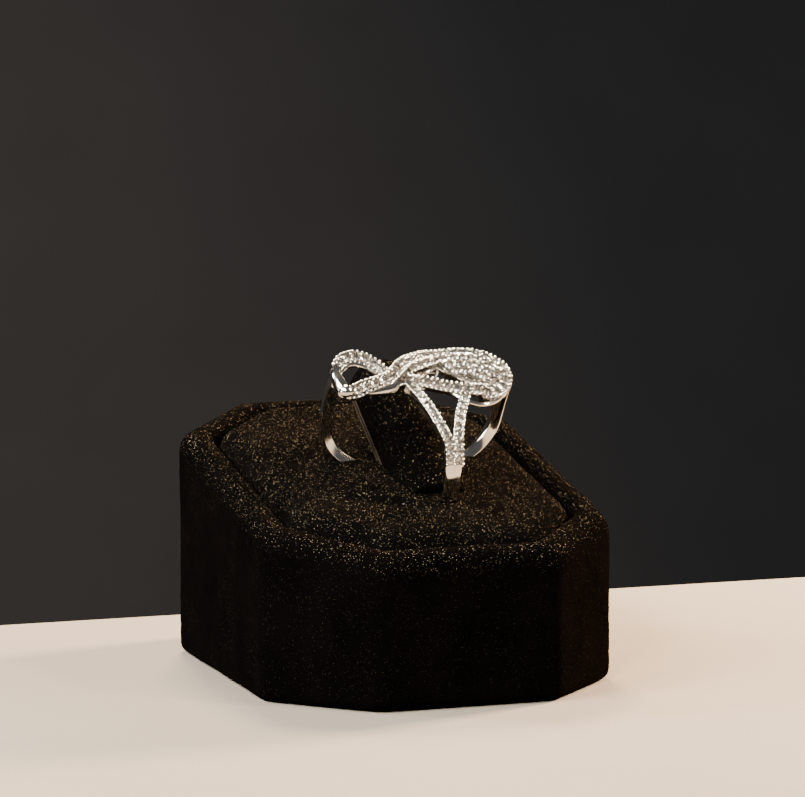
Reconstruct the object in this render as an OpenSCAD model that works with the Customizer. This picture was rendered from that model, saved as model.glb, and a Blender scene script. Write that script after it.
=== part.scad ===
// A stone-set ring whose head is one ribbon looped into a reclining music note: a small loop,
// a crossing and a large loop with a broad paved crest. The near leg splits in a V, and the far
// side opens in a wide polished bow. It stands on a wedge-shaped velvet display stand.
// Ring frame: u runs along the finger, v away from the viewer, w up, from the finger's centre.

/* [Band] */
// Inside diameter of the band
finger_d = 16.6; // [14:0.1:22]
// Radial thickness of the band
band_t = 1.5; // [1.2:0.05:2.2]
// Width of the near stem and of the band under the finger
stem_w = 2.3; // [1.8:0.1:4]
// Width of each stone-set arm of the near V
arm_w = 1.27; // [1:0.01:1.8]
// Width of each polished arm of the far bow
bow_w = 1.47; // [1.2:0.01:2.4]
// Depth of the step from the stone-set stem down to the plain band
step_depth = 0.25; // [0.1:0.05:0.5]

/* [Head] */
// Slope of the head's plane, down towards the viewer
head_tilt = 28; // [0:1:45]
// Height of the head's plane over the finger's centre
head_rise = 11; // [10:0.1:14]
// Place of the head's plane across the finger
head_across = -1; // [-4:0.1:4]
// Radius of the round wires under the head
wire_r = 0.33; // [0.25:0.01:0.6]
// Depth of the channels that the stones sit in
channel_depth = 0.64; // [0.4:0.01:1]
// Width of the metal edge on each side of a channel
channel_edge = 0.17; // [0.1:0.01:0.4]

/* [Stones] */
// Diameter of a stone in the ribbons and the crest
stone_d = 1.08; // [0.8:0.01:1.6]
// Diameter of a stone in the crossing and the front row
large_stone_d = 1.18; // [0.9:0.01:1.8]
// Diameter of the small stones that fill the crest's corners
small_stone_d = 0.78; // [0.6:0.01:1]
// Diameter of a stone in the near leg
leg_stone_d = 0.94; // [0.7:0.01:1.5]
// Free distance between the girdles of two stones
stone_gap = 0.15; // [0.1:0.01:0.4]

/* [Stand] */
// Width of the stand
stand_w = 47; // [40:1:80]
// Depth of the stand
stand_d = 60; // [45:1:100]
// Length cut off each corner of its eight-sided plan
stand_cut = 11.6; // [6:0.1:20]
// Height of the front edge
stand_front_h = 19.3; // [12:0.1:40]
// Slope of the stand's top, down towards the viewer
stand_slope = 12; // [0:1:25]
// Width of the padded rim round the cushion
rim_w = 4.4; // [3:0.1:8]
// Height of the rim's rounded shoulder
rim_roll = 2.4; // [1:0.1:4]
// Depth of the well that the cushion sits in
well_depth = 9; // [5:0.1:12]
// Height of the cushion's crown over the rim
cushion_crown = 1.1; // [0:0.1:4]
// Clearance between the cushion, the tongue, the ring and the well
soft_gap = 0.3; // [0.2:0.05:0.6]

/* [Place of the ring] */
// Distance of the ring to the right of the stand's middle
ring_x = 2.4; // [-10:0.1:10]
// Distance of the ring in front of the stand's middle
ring_front = 8.1; // [-15:0.1:20]
// Height of the finger's centre over the table
ring_z = 29.1; // [24:0.1:40]
// Lean of the ring towards the viewer
ring_lean = 10; // [0:1:20]

/* [Tongue] */
// Radius of the half-round velvet tongue that stands in the ring
tongue_r = 4.1; // [3:0.1:7]
// Depth of the tongue's straight sides at its foot
tongue_side = 2.4; // [1:0.1:4]
// Depth of the tongue's straight sides at its far end
tongue_side_end = 1.1; // [0.6:0.1:3]

/* [Hidden] */

metal_colour = [0.83, 0.83, 0.84];
stone_colour = [0.95, 0.97, 1.0];
velvet_colour = [0.06, 0.055, 0.05];

finger_r = finger_d / 2;
band_r = finger_r + band_t;
tiny = 0.01;

// Columns of a table of head stations: place along the finger and up the slope of the head, height
// over its plane, width, thickness, and how far the face leans along those two directions
// (the tangents of the angles).
// Columns of a table of band stations: place along the finger, angle round it from the top with the
// far side positive, outside radius, width, thickness.

// The left end of the small loop, plain and polished, round to its stone-set back
loop_end = [
    [-12.1, -3.25, -0.75, 1.3, 1.1, -0.35, -0.9],
    [-12.9, -2.75, -0.45, 1.8, 1.7, -0.7, -0.6],
    [-13.35, -1.7, -0.25, 1.9, 2.0, -0.75, -0.3],
    [-13.45, -0.5, -0.1, 1.8, 2.0, -0.6, -0.15],
    [-13.3, 0.6, 0, 1.6, 1.9, -0.35, -0.15],
    [-12.9, 1.6, 0.0, 1.44, 1.5, -0.15, -0.3],
    [-12.7, 1.9, -0.68, 1.1, 0.7, -0.15, -0.35],
];
// The small loop's back, under the crossing, and on as the large loop's front
under_strand = [
    [-12.9, 1.6, 0.05, 1.5, 1.6, -0.15, -0.25],
    [-12.2, 2.4, 0.15, 1.6, 1.5, -0.05, -0.4],
    [-11.2, 2.9, 0.25, 1.6, 1.4, 0, -0.45],
    [-10.1, 3.0, 0.25, 1.6, 1.4, 0, -0.45],
    [-9.0, 2.6, 0.15, 1.6, 1.4, 0, -0.45],
    [-7.9, 1.8, 0, 1.55, 1.4, 0, -0.4],
    [-6.8, 0.7, -0.35, 1.5, 1.3, 0, -0.3],
    [-5.6, -0.3, -0.65, 1.4, 1.1, 0, -0.3],
    [-4.4, -1.0, -0.35, 1.4, 1.2, 0, -0.4],
    [-3.1, -1.45, 0, 1.45, 1.3, 0, -0.5],
    [-1.6, -1.95, 0, 1.45, 1.3, 0, -0.5],
    [0, -2.55, 0, 1.45, 1.3, 0, -0.5],
    [1.8, -3.05, 0, 1.45, 1.3, 0, -0.5],
    [3.7, -3.32, -0.06, 1.45, 1.3, 0, -0.5],
    [5.3, -3.4, -0.2, 1.45, 1.25, 0, -0.45],
];
// The small loop's front, over the crossing, and on as the large loop's back
over_strand = [
    [-12.3, -2.9, -0.35, 1.5, 1.4, 0, -0.55],
    [-11.2, -2.6, -0.15, 1.9, 1.4, 0, -0.5],
    [-9.8, -2.1, 0.1, 1.8, 1.45, 0, -0.45],
    [-8.3, -1.75, 0.35, 1.65, 1.85, 0, -0.45],
    [-6.9, -1.25, 0.6, 1.65, 2.3, 0, -0.4],
    [-5.7, -0.25, 0.6, 1.7, 2.1, 0, -0.3],
    [-4.6, 1.0, 0.45, 1.75, 1.65, 0, -0.25],
    [-3.1, 2.1, 0.25, 1.5, 1.4, 0, -0.2],
    [-1.2, 2.9, 0.05, 1.4, 1.4, 0, -0.1],
    [0.9, 3.17, -0.13, 1.36, 1.4, 0, 0],
];
// The short strand inside the large loop's back
inner_strand = [
    [-4.5, -0.16, 0.28, 1.15, 1.3, 0, -0.35],
    [-3.3, 0.55, 0.25, 1.25, 1.3, 0, -0.35],
    [-2.0, 1.25, 0.15, 1.25, 1.3, 0, -0.35],
    [-0.8, 1.7, 0.1, 1.15, 1.3, 0, -0.3],
    [0.6, 2.05, 0.02, 1.1, 1.25, 0, -0.2],
];
// The crest's outer edge and, back along the large opening, its inner edge
crest_outer = [[0.5, 3.85], [3.0, 3.95], [5.7, 3.55], [8.0, 2.45], [9.5, 0.8], [9.85, -0.8], [9.4, -2.5],
    [8.2, -3.75], [6.5, -4.28], [5.1, -4.2]];
crest_inner = [[5.1, -2.75], [5.65, -2.6], [5.1, -2.3], [4.0, -1.85], [2.6, -1.15], [1.6, -0.35],
    [1.0, 0.5], [0.65, 1.6], [0.52, 2.4], [0.48, 3.2]];
crest_middle = [5, 1.1];
crest_round = [26, 13];
crest_t = 1.46;
crest_rise = 0.35;

// The near leg's arms, from the stem up to the head
left_arm = [
    [-0.5, -83.6, band_r, arm_w, band_t - 0.06],
    [-0.6, -67, band_r, arm_w, band_t - 0.06],
    [-1.05, -59, band_r, arm_w, band_t],
    [-1.75, -48, band_r, arm_w, band_t],
    [-2.6, -34.5, band_r + 0.05, arm_w, band_t],
    [-3.45, -20, band_r + 0.15, arm_w, 1.3],
    [-4.0, -12, band_r + 0.3, arm_w, 1.2],
];
right_arm = [
    [0.5, -83.8, band_r + 0.03, arm_w, band_t - 0.13],
    [0.6, -67, band_r + 0.03, arm_w, band_t - 0.13],
    [0.75, -57, band_r + 0.03, arm_w, band_t - 0.1],
    [1.45, -43, band_r, arm_w, band_t],
    [2.35, -31.5, band_r + 0.1, arm_w, 1.3],
    [2.8, -26, band_r + 0.25, arm_w, 1.2],
];
stem = [for (a = [-84.2:0.8:-82.6]) [0, a, band_r + 0.06, stem_w, band_t + 0.09]];
band = [for (a = [-230:10:-80]) [0, a, band_r - step_depth, stem_w - 0.1, band_t - step_depth]];
// The far bow's two arms, from the head down and in to the band
left_bow = [
    [-13.0, -2, band_r + 0.7, bow_w, 1.3],
    [-12.4, 15, band_r + 0.35, bow_w, band_t],
    [-11.7, 36, band_r, bow_w, band_t],
    [-11.35, 58, band_r, bow_w, band_t],
    [-11.3, 78, band_r, bow_w, band_t],
    [-10.95, 92, band_r, bow_w, band_t],
    [-10.05, 103.5, band_r, bow_w, band_t],
    [-8.5, 112.5, band_r, bow_w, band_t],
    [-6.4, 119.5, band_r, bow_w, band_t],
    [-4.0, 125, band_r, bow_w, band_t],
    [-1.7, 130, band_r - 0.05, bow_w, band_t],
    [-0.45, 137, band_r - 0.12, bow_w, band_t - 0.2],
    [-0.3, 146, band_r - step_depth - 0.1, bow_w, band_t - step_depth - 0.25],
];
right_bow = [
    [9.2, -4, band_r + 0.6, bow_w, 1.2],
    [10.6, 12, band_r + 0.35, bow_w, band_t],
    [11.8, 34, band_r, bow_w, band_t],
    [12.2, 56, band_r, bow_w, band_t],
    [12.15, 76, band_r, bow_w, band_t],
    [11.7, 90, band_r, bow_w, band_t],
    [10.6, 101, band_r, bow_w, band_t],
    [9.0, 110, band_r, bow_w, band_t],
    [6.9, 117.5, band_r, bow_w, band_t],
    [4.4, 124, band_r, bow_w, band_t],
    [1.9, 130, band_r - 0.05, bow_w, band_t],
    [0.4, 137, band_r - 0.17, bow_w, band_t - 0.3],
    [0.25, 147, band_r - step_depth - 0.16, bow_w, band_t - step_depth - 0.35],
];

// Columns of a wire's table: place along the finger, angle round it, distance from its centre
front_wire = [[-3.7, -18, 9.5], [-1.6, -13, 9.5], [0.6, -17, 9.4], [2.6, -28, 9.2], [4.8, -34, 9.1],
    [7.2, -28, 8.95], [8.9, -15, 9.1], [9.9, 2, 9.8]];
back_wire = [[-6.6, 4, 9.85], [-3.5, 10, 10.0], [0, 14, 10.1],
    [4, 15, 10.1], [7.6, 11, 10.0], [10.2, 6, 9.9]];
// Posts from the back wire up to the head: place along the finger, angle of the foot, place up the
// head's slope where the post ends
post_foot_r = 10;
post_top = -0.9;
posts = [[-2.2, 12, 2.4], [2.2, 15, 3.1], [6.4, 13, 2.6]];
// Bars across the large opening, in head coordinates along, up the slope and over the plane
bar_r = 0.22;
bars = [[[1.0, 1.7, -0.9], [0.1, 0.2, -1.1], [-1.5, -1.7, -1.0]],
    [[1.0, 1.7, -0.9], [-0.9, 0.95, -1.15], [-3.1, -0.7, -1.1]]];

// Vectors and smooth rows
function unit(v) = v / norm(v);
function spot(row) = [row[0], row[1], row[2]];
function face_dir(row) = [row[3], row[4], row[5]];
function blend4(a, b, c, d, t) =
    0.5 * (2 * b + (c - a) * t + (2 * a - 5 * b + 4 * c - d) * t * t + (3 * b - a - 3 * c + d) * t * t * t);
function row_at(rows, x) =
    let (last = len(rows) - 1, i = min(floor(x), last - 1))
    blend4(rows[max(i - 1, 0)], rows[i], rows[i + 1], rows[min(i + 2, last)], x - i);
function smooth(rows, steps) = [for (k = [0:steps * (len(rows) - 1)]) row_at(rows, k / steps)];

// Head and band coordinates turned into ring coordinates
function head_point(p) = [p[0],
    head_across + p[1] * cos(head_tilt) - p[2] * sin(head_tilt),
    head_rise + p[1] * sin(head_tilt) + p[2] * cos(head_tilt)];
function head_dir(along, up) = unit([along,
    up * cos(head_tilt) - sin(head_tilt), up * sin(head_tilt) + cos(head_tilt)]);
function head_rows(table, steps) = [for (r = smooth(table, steps))
    concat(head_point(r), head_dir(r[5], r[6]), [r[3], r[4]])];
function round_point(u, angle, r) = [u, r * sin(angle), r * cos(angle)];
function band_rows(table, steps) = [for (r = smooth(table, steps))
    concat(round_point(r[0], r[1], r[2]), [0, sin(r[1]), cos(r[1])], [r[3], r[4]])];

// The crest's top is a low dome over the head's plane
function crest_lean(p) = [for (i = [0:1]) (p[i] - crest_middle[i]) / crest_round[i]];
function crest_height(p) = crest_rise - pow(p[0] - crest_middle[0], 2) / (2 * crest_round[0])
    - pow(p[1] - crest_middle[1], 2) / (2 * crest_round[1]);

// Swept ribbons: a plain bar with its long edges cut off, and a bar with a channel for stones
paved_chamfer = 0.07;
function bar_profile(w, t, c) = [[-w / 2 + c, 0], [w / 2 - c, 0], [w / 2, -c], [w / 2, -t + c],
    [w / 2 - c, -t], [-w / 2 + c, -t], [-w / 2, -t + c], [-w / 2, -c]];
function channel_profile(w, t, c) = let (e = w / 2 - channel_edge)
    concat([[-w / 2 + c, 0], [-e, 0], [-e, -channel_depth], [e, -channel_depth], [e, 0]],
        [for (i = [1:7]) bar_profile(w, t, c)[i]]);
function section(rows, i, profile) =
    let (last = len(rows) - 1, row = rows[i],
        ahead = unit(spot(rows[min(i + 1, last)]) - spot(rows[max(i - 1, 0)])),
        up = unit(face_dir(row) - ahead * (face_dir(row) * ahead)), side = cross(ahead, up))
    [for (q = profile) spot(row) + side * q[0] + up * q[1]];

module skin(rings) {
    n = len(rings);
    k = len(rings[0]);
    sides = [for (i = [0:n - 2], j = [0:k - 1])
        let (a = i * k + j, b = i * k + (j + 1) % k) each [[a, b + k, b], [a, a + k, b + k]]];
    polyhedron([for (ring = rings) each ring],
        concat([[for (j = [0:k - 1]) j]], sides, [[for (j = [k - 1:-1:0]) (n - 1) * k + j]]), 4);
}

module ribbon(rows, chamfer = 0.12) {
    skin([for (i = [0:len(rows) - 1]) section(rows, i, bar_profile(rows[i][6], rows[i][7], chamfer))]);
}

// A bar grown on all sides, to cut its room out of the cushion
module grown_ribbon(rows, grow) {
    skin([for (i = [0:len(rows) - 1]) section(rows, i,
        [for (q = bar_profile(rows[i][6] + 2 * grow, rows[i][7] + 2 * grow, 0.2)) [q[0], q[1] + grow]])]);
}

module paved_ribbon(rows) {
    skin([for (i = [0:len(rows) - 1])
        section(rows, i, channel_profile(rows[i][6], rows[i][7], paved_chamfer))]);
}

// Straight round pieces between points
module wire(points, r = wire_r) {
    for (i = [0:len(points) - 2])
        hull() {
            translate(points[i]) sphere(r, $fn = 6);
            translate(points[i + 1]) sphere(r, $fn = 6);
        }
}

// A round wire bent along a band table, as one skin
module rail(table) {
    rows = [for (p = smooth(table, 2)) concat(round_point(p[0], p[1], p[2]), [0, sin(p[1]), cos(p[1])])];
    skin([for (i = [0:len(rows) - 1])
        section(rows, i, [for (a = [315:-45:0]) [wire_r * cos(a), wire_r * sin(a)]])]);
}

module in_head() {
    translate([0, head_across, head_rise]) rotate([head_tilt, 0, 0]) children();
}

// Round stones: a table, a crown of sixteen facets and a pavilion of eight
table_share = 0.56;
crown_share = 0.15;
pavilion_share = 0.42;
module stone(d) {
    table_r = d * table_share / 2;
    top = [for (i = [0:7]) [cos(45 * i) * table_r, sin(45 * i) * table_r, d * crown_share]];
    girdle = [for (i = [0:7]) [cos(45 * i + 22.5) * d / 2, sin(45 * i + 22.5) * d / 2, 0]];
    hull() polyhedron(concat(top, girdle, [[0, 0, -d * pavilion_share]]),
        concat([[for (i = [7:-1:0]) i]], [for (i = [0:7]) let (j = (i + 1) % 8)
            each [[i, j, 8 + i], [8 + i, j, 8 + j], [8 + i, 8 + j, 16]]]));
}

// A stone's record: place, face direction, direction along its row, diameter, group
function stone_row(place, face, ahead, d, group) = [place, face, ahead, d, group];
function run_of(rows) = [for (i = 0, s = 0; i < len(rows);
    s = s + (i + 1 < len(rows) ? norm(spot(rows[i + 1]) - spot(rows[i])) : 0), i = i + 1) s];
function along(rows, run, s) =
    let (x = lookup(s, [for (i = [0:len(run) - 1]) [run[i], i]]), i = min(floor(x), len(rows) - 2), t = x - i)
    rows[i] * (1 - t) + rows[i + 1] * t;
// Height of a stone's girdle over the metal's face
seat = 0.03;
// Stones along a strand, with their centres between two distances from its start
function stones_on(rows, d, group, from, to) =
    let (run = run_of(rows), length = run[len(run) - 1], pitch = d + stone_gap,
        count = floor((to - from) / pitch), first = from + (to - from - count * pitch) / 2)
    [for (i = [0:count]) let (s = first + i * pitch, row = along(rows, run, s),
        ahead = unit(spot(along(rows, run, min(s + 0.1, length))) - spot(along(rows, run, max(s - 0.1, 0)))),
        face = unit(face_dir(row) - ahead * (face_dir(row) * ahead)))
        stone_row(spot(row) + face * seat, face, ahead, d, group)];

// The crest's stones: rows that follow its outer edge inwards, then small ones in what is left
crest_edge = smooth(crest_outer, 4);
crest_brink = smooth(crest_inner, 3);
crest_first = 0.7;
crest_pitch = stone_d + stone_gap;
crest_margin = 0.12;
function flat_inward(line, i) =
    let (last = len(line) - 1, d = unit(line[min(i + 1, last)] - line[max(i - 1, 0)])) [d[1], -d[0]];
function nearest(p, line) = min([for (q = line) norm(p - q)]);
function crest_row(depth) =
    [for (i = [0:len(crest_edge) - 1]) concat(crest_edge[i] + flat_inward(crest_edge, i) * depth, 0)];
function crest_record(p, ahead, d) =
    let (lean = crest_lean(p), face = head_dir(lean[0], lean[1]),
        forward = head_point([ahead[0], ahead[1], 0]) - head_point([0, 0, 0]))
    stone_row(head_point([p[0], p[1], crest_height(p)]) + face * seat, face,
        unit(forward - face * (forward * face)), d, "crest");
function is_inside(p) = let (ring = concat(crest_edge, crest_brink), n = len(ring))
    len([for (i = [0:n - 1]) let (a = ring[i], b = ring[(i + 1) % n])
        if ((a[1] > p[1]) != (b[1] > p[1]) &&
            p[0] < a[0] + (b[0] - a[0]) * (p[1] - a[1]) / (b[1] - a[1])) 1]) % 2 == 1;
function fits_crest(p, d) = is_inside(p) && nearest(p, crest_edge) > d / 2 + crest_margin &&
    nearest(p, crest_brink) > d / 2 + crest_margin;
function crest_line(depth, first, step, d) =
    let (line = crest_row(depth), run = run_of(line), length = run[len(run) - 1])
    [for (s = [first:step:length]) let (p = along(line, run, s), flat = [p[0], p[1]],
        ahead = unit(along(line, run, min(s + 0.1, length)) - along(line, run, max(s - 0.1, 0))))
        if (fits_crest(flat, d)) crest_record(flat, ahead, d)];
crest_candidates = concat(
    crest_line(crest_first, 0.35, crest_pitch + 0.02, stone_d),
    [for (k = [1:4]) each crest_line(crest_first + k * crest_pitch * 0.92, 0.3, 0.1, stone_d)],
    [for (k = [0:17]) each crest_line(0.55 + k * 0.25, 0.3, 0.12, small_stone_d)]);

// Stones are kept one by one, where they stay clear of those kept before
function is_clear(s, got) =
    len([for (g = got) if (norm(g[0] - s[0]) < (g[3] + s[3]) / 2 + 0.1) 1]) == 0;
function pick(list, got = [], i = 0) =
    i == len(list) ? got : pick(list, is_clear(list[i], got) ? concat(got, [list[i]]) : got, i + 1);

loop_end_rows = head_rows(loop_end, 2);
under_rows = head_rows(under_strand, 2);
over_rows = head_rows(over_strand, 2);
inner_rows = head_rows(inner_strand, 2);
left_arm_rows = band_rows(left_arm, 2);
right_arm_rows = band_rows(right_arm, 2);

// Columns: strand, diameter, node, distance from the strand's start to the first and the last stone
head_runs = [
    [over_rows, large_stone_d, "crossing", 4.94, 7.62],
    [under_rows, large_stone_d, "front", 11.6, 19.85],
    [under_rows, stone_d, "loop", 0.7, 6.95],
    [over_rows, stone_d, "loop", 1.15, 3.66],
    [over_rows, stone_d, "crest", 9.02, 13.85],
    [inner_rows, 0.9, "crest", 1.32, 5.4],
];
leg_runs = [
    [left_arm_rows, leg_stone_d, "leg", 0.72, 11.3],
    [right_arm_rows, leg_stone_d, "leg", 0.75, 9.65],
];
function stones_in(runs) = [for (r = runs) each stones_on(r[0], r[1], r[2], r[3], r[4])];
head_stones = pick(concat(stones_in(head_runs), crest_candidates));
leg_stones = pick(stones_in(leg_runs));

module stones(list, group) {
    for (s = list)
        if (s[4] == group) {
            side = cross(s[1], s[2]);
            multmatrix([for (i = [0:2]) [s[2][i], side[i], s[1][i], s[0][i]]]) stone(s[3]);
        }
}

// The crest's plate: its outline, cut to a shell between two domes, with a tray for the stones
module crest_outline(inset = 0) {
    offset(delta = -inset) polygon(concat(crest_edge, crest_brink));
}

module crest_dome(drop) {
    r = crest_round[1];
    translate([crest_middle[0], crest_middle[1], crest_rise - drop - r])
        scale([sqrt(crest_round[0] / r), 1, 1]) sphere(r, $fn = 44);
}

module crest_shell(inset, top, bottom) {
    difference() {
        intersection() {
            translate([0, 0, -4]) linear_extrude(6) crest_outline(inset);
            crest_dome(top);
        }
        crest_dome(bottom);
    }
}

module crest() {
    in_head() difference() {
        crest_shell(0, 0, crest_t);
        crest_shell(channel_edge, -1, channel_depth);
    }
}

module ring_at() {
    translate([ring_x, -ring_front, ring_z]) rotate([ring_lean, 0, 0]) children();
}

module ring_metal() {
    color(metal_colour) ring_at() {
        ribbon(loop_end_rows, 0.25);
        paved_ribbon(under_rows);
        paved_ribbon(over_rows);
        paved_ribbon(inner_rows);
        crest();
        paved_ribbon(left_arm_rows);
        paved_ribbon(right_arm_rows);
        ribbon(band_rows(stem, 1));
        ribbon(band_rows(band, 1), 0.25);
        ribbon(band_rows(left_bow, 2), 0.3);
        ribbon(band_rows(right_bow, 2), 0.3);
        rail(front_wire);
        rail(back_wire);
        for (p = posts)
            wire([round_point(p[0], p[1], post_foot_r), head_point([p[0], p[2], post_top])]);
        for (b = bars)
            wire([for (p = smooth(b, 2)) head_point(p)], bar_r);
    }
}

module loop_stones() { color(stone_colour) ring_at() stones(head_stones, "loop"); }
module crossing_stones() { color(stone_colour) ring_at() stones(head_stones, "crossing"); }
module crest_stones() { color(stone_colour) ring_at() stones(head_stones, "crest"); }
module front_stones() { color(stone_colour) ring_at() stones(head_stones, "front"); }
module leg_stones() { color(stone_colour) ring_at() stones(leg_stones, "leg"); }

// The stand: eight-sided, with a sloping top. Its top is drawn in a frame that lies on the slope,
// with its origin over the middle of the stand.
slope_mid_h = stand_front_h + stand_d / 2 * tan(stand_slope);
slope_d = stand_d / cos(stand_slope);
slope_cut = stand_cut / cos(stand_slope);
corner_r = 3.2;
foot_inset = 0.8;

module eight_sided(w, d, cut_w, cut_d, inset) {
    offset(r = corner_r, $fn = 24) offset(delta = -corner_r - inset)
        polygon([for (q = [[-1, -1], [1, -1], [1, 1], [-1, 1]])
            let (side = [q[0] * w / 2, q[1] * (d / 2 - cut_d)], end = [q[0] * (w / 2 - cut_w), q[1] * d / 2])
            each q[0] * q[1] > 0 ? [side, end] : [end, side]]);
}

module slope_layer(inset, height) {
    translate([0, height * tan(stand_slope), height]) linear_extrude(tiny)
        eight_sided(stand_w, slope_d, stand_cut, slope_cut, inset);
}

module on_slope() {
    translate([0, 0, slope_mid_h]) rotate([stand_slope, 0, 0]) children();
}

module rounded_stack(inset, top, roll, bottom) {
    hull() {
        slope_layer(inset, bottom);
        for (a = [0:22.5:90])
            slope_layer(inset + roll * (1 - cos(a)), top - roll * (1 - sin(a)) - tiny);
    }
}

module stand_case() {
    color(velvet_colour) difference() {
        hull() {
            linear_extrude(tiny) eight_sided(stand_w, stand_d, stand_cut, stand_cut, foot_inset);
            translate([0, 0, foot_inset]) linear_extrude(tiny)
                eight_sided(stand_w, stand_d, stand_cut, stand_cut, 0);
            on_slope() rounded_stack(0, 0, rim_roll, -rim_roll);
        }
        on_slope() hull() {
            slope_layer(rim_w, -well_depth);
            slope_layer(rim_w, -1.4);
            slope_layer(rim_w - 0.9, 1);
        }
    }
}

module stand_cushion() {
    color(velvet_colour) difference() {
        on_slope() rounded_stack(rim_w + soft_gap, cushion_crown, 3.6, -well_depth + 0.05);
        ring_at() ring_slot();
        ring_at() tongue_body(soft_gap);
    }
}

// Room in the cushion for the band and for the lower ends of the far bow
module ring_slot() {
    grown_ribbon(band_rows(band, 1), soft_gap);
    grown_ribbon(band_rows(stem, 1), soft_gap);
    grown_ribbon(band_rows(left_bow, 2), soft_gap + 0.07);
    grown_ribbon(band_rows(right_bow, 2), soft_gap + 0.04);
}

// The tongue: a half-round bar that rises from the cushion inside the ring and leans far back,
// out between the arms of the bow. Columns: away from the viewer, up, slope, radius, depth of the sides.
tongue_u = -0.3;
tongue_foot_w = -5.9;
tongue_path = [
    [-4, -6.4, 27, tongue_r + 0.5, tongue_side],
    [0, -4.3, 26, tongue_r + 0.3, tongue_side],
    [3, -2.95, 24, tongue_r + 0.1, tongue_side],
    [6, -1.7, 22, tongue_r, tongue_side * 0.85 + tongue_side_end * 0.15],
    [9, -0.6, 20, tongue_r, tongue_side * 0.7 + tongue_side_end * 0.3],
    [12, 0.42, 18.5, tongue_r, tongue_side * 0.5 + tongue_side_end * 0.5],
    [15, 1.36, 17.5, tongue_r, tongue_side * 0.3 + tongue_side_end * 0.7],
    [18, 2.25, 16.5, tongue_r, tongue_side_end],
    [20.1, 2.85, 16, tongue_r, tongue_side_end],
    [20.9, 3.05, 16, tongue_r - 0.7, tongue_side_end - 0.5],
];

module tongue_body(grow) {
    difference() {
        skin([for (row = tongue_path) tongue_section(row, grow)]);
        translate([-15, -30, -30]) cube([30, 60, 30 + tongue_foot_w - grow]);
        difference() {
            translate([-15, -20, -15]) cube([30, 20, 30]);
            rotate([0, 90, 0]) cylinder(40, r = finger_r - soft_gap + grow, center = true, $fn = 96);
        }
    }
}

function tongue_section(row, grow) =
    let (r = row[3] + grow, side = row[4] + grow,
        line = concat([[r, -side], [-r, -side]], [for (a = [180:-12:0]) [r * cos(a), r * sin(a)]]))
    [for (q = line) [tongue_u + q[0], row[0] - q[1] * sin(row[2]), row[1] + q[1] * cos(row[2])]];

module stand_tongue() {
    color(velvet_colour) ring_at() tongue_body(0);
}

ring_metal();
loop_stones();
crossing_stones();
crest_stones();
front_stones();
leg_stones();
stand_case();
stand_cushion();
stand_tongue();
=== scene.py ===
"""A stone-set ring with a looped head, standing on its velvet display stand.

The ring's metal is built as swept strands, the stones and beads are set at the seats that the
packed stones give, and the stand's case, cushion and tongue are velvet. Lengths in the tables are
in millimetres and everything that is built is in metres.
"""

import sys
import logging
import math
from collections.abc import Callable, Sequence
from dataclasses import dataclass
from enum import Enum

import bmesh
import bpy
import numpy as np
from mathutils import Matrix, Vector, noise


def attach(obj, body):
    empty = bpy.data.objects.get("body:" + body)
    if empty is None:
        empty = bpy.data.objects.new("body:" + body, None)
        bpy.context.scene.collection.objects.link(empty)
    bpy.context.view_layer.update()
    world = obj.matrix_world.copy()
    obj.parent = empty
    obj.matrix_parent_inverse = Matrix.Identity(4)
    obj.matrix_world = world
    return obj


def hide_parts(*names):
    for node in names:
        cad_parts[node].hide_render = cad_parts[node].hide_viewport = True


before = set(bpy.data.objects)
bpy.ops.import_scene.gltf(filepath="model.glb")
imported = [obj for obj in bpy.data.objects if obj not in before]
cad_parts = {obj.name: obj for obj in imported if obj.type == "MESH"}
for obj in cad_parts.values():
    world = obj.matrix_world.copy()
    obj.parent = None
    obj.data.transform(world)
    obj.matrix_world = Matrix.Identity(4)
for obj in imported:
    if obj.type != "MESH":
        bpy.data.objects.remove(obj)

MM = 0.001
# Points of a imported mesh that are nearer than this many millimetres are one.
SAME_POINT = 0.001
# Faces that meet at more than this many degrees keep a crease, on strands and on round pieces.
STRAND_CREASE = 38
ROUND_CREASE = 50
Piece, Material = bpy.types.Object, bpy.types.Material
Tree, Socket = bpy.types.NodeTree, bpy.types.NodeSocket
Row = Sequence[float]
Outline = list[tuple[float, float]]
Profile = Callable[[float, float], Outline]
FacedLine = list[tuple[Vector, Vector]]
log = logging.getLogger("ring_on_stand")


class Slot(Enum):
    """The record's material slots."""

    METAL = "polished_silver"
    STONE = "clear_stone"
    CASE = "black_velvet"
    CUSHION = "cushion_velvet"
    TONGUE = "tongue_velvet"


# Finishes


def linear(code: str) -> tuple[float, float, float, float]:
    """Turns an sRGB hex colour to linear red, green, blue and alpha.

    Args:
        code: the colour, such as "#D8D6D2".

    Returns:
        The four values that a colour socket takes.
    """
    parts = [int(code[i:i + 2], 16) / 255 for i in (1, 3, 5)]
    return (*[p / 12.92 if p <= 0.04045 else ((p + 0.055) / 1.055) ** 2.4 for p in parts], 1.0)


def add_node(tree: Tree, kind: str, values: dict | None = None,
             links: dict | None = None) -> bpy.types.Node:
    """Adds one node with its settings and links.

    Args:
        tree: the node tree.
        kind: the node's type.
        values: settings by the name of a property, or by the name or number of an input.
        links: output sockets by the name or number of the input that each goes into.

    Returns:
        The node.
    """
    node = tree.nodes.new(kind)
    for name, value in (values or {}).items():
        if isinstance(name, str) and hasattr(node, name):
            setattr(node, name, value)
        else:
            node.inputs[name].default_value = value
    for name, socket in (links or {}).items():
        tree.links.new(socket, node.inputs[name])
    return node


def new_material(name: str) -> tuple[Material, Tree]:
    """Adds an empty node material.

    Args:
        name: the material's name.

    Returns:
        The material and its emptied tree.
    """
    material = bpy.data.materials.new(name)
    material.use_nodes = True
    material.node_tree.nodes.clear()
    return material, material.node_tree


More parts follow.
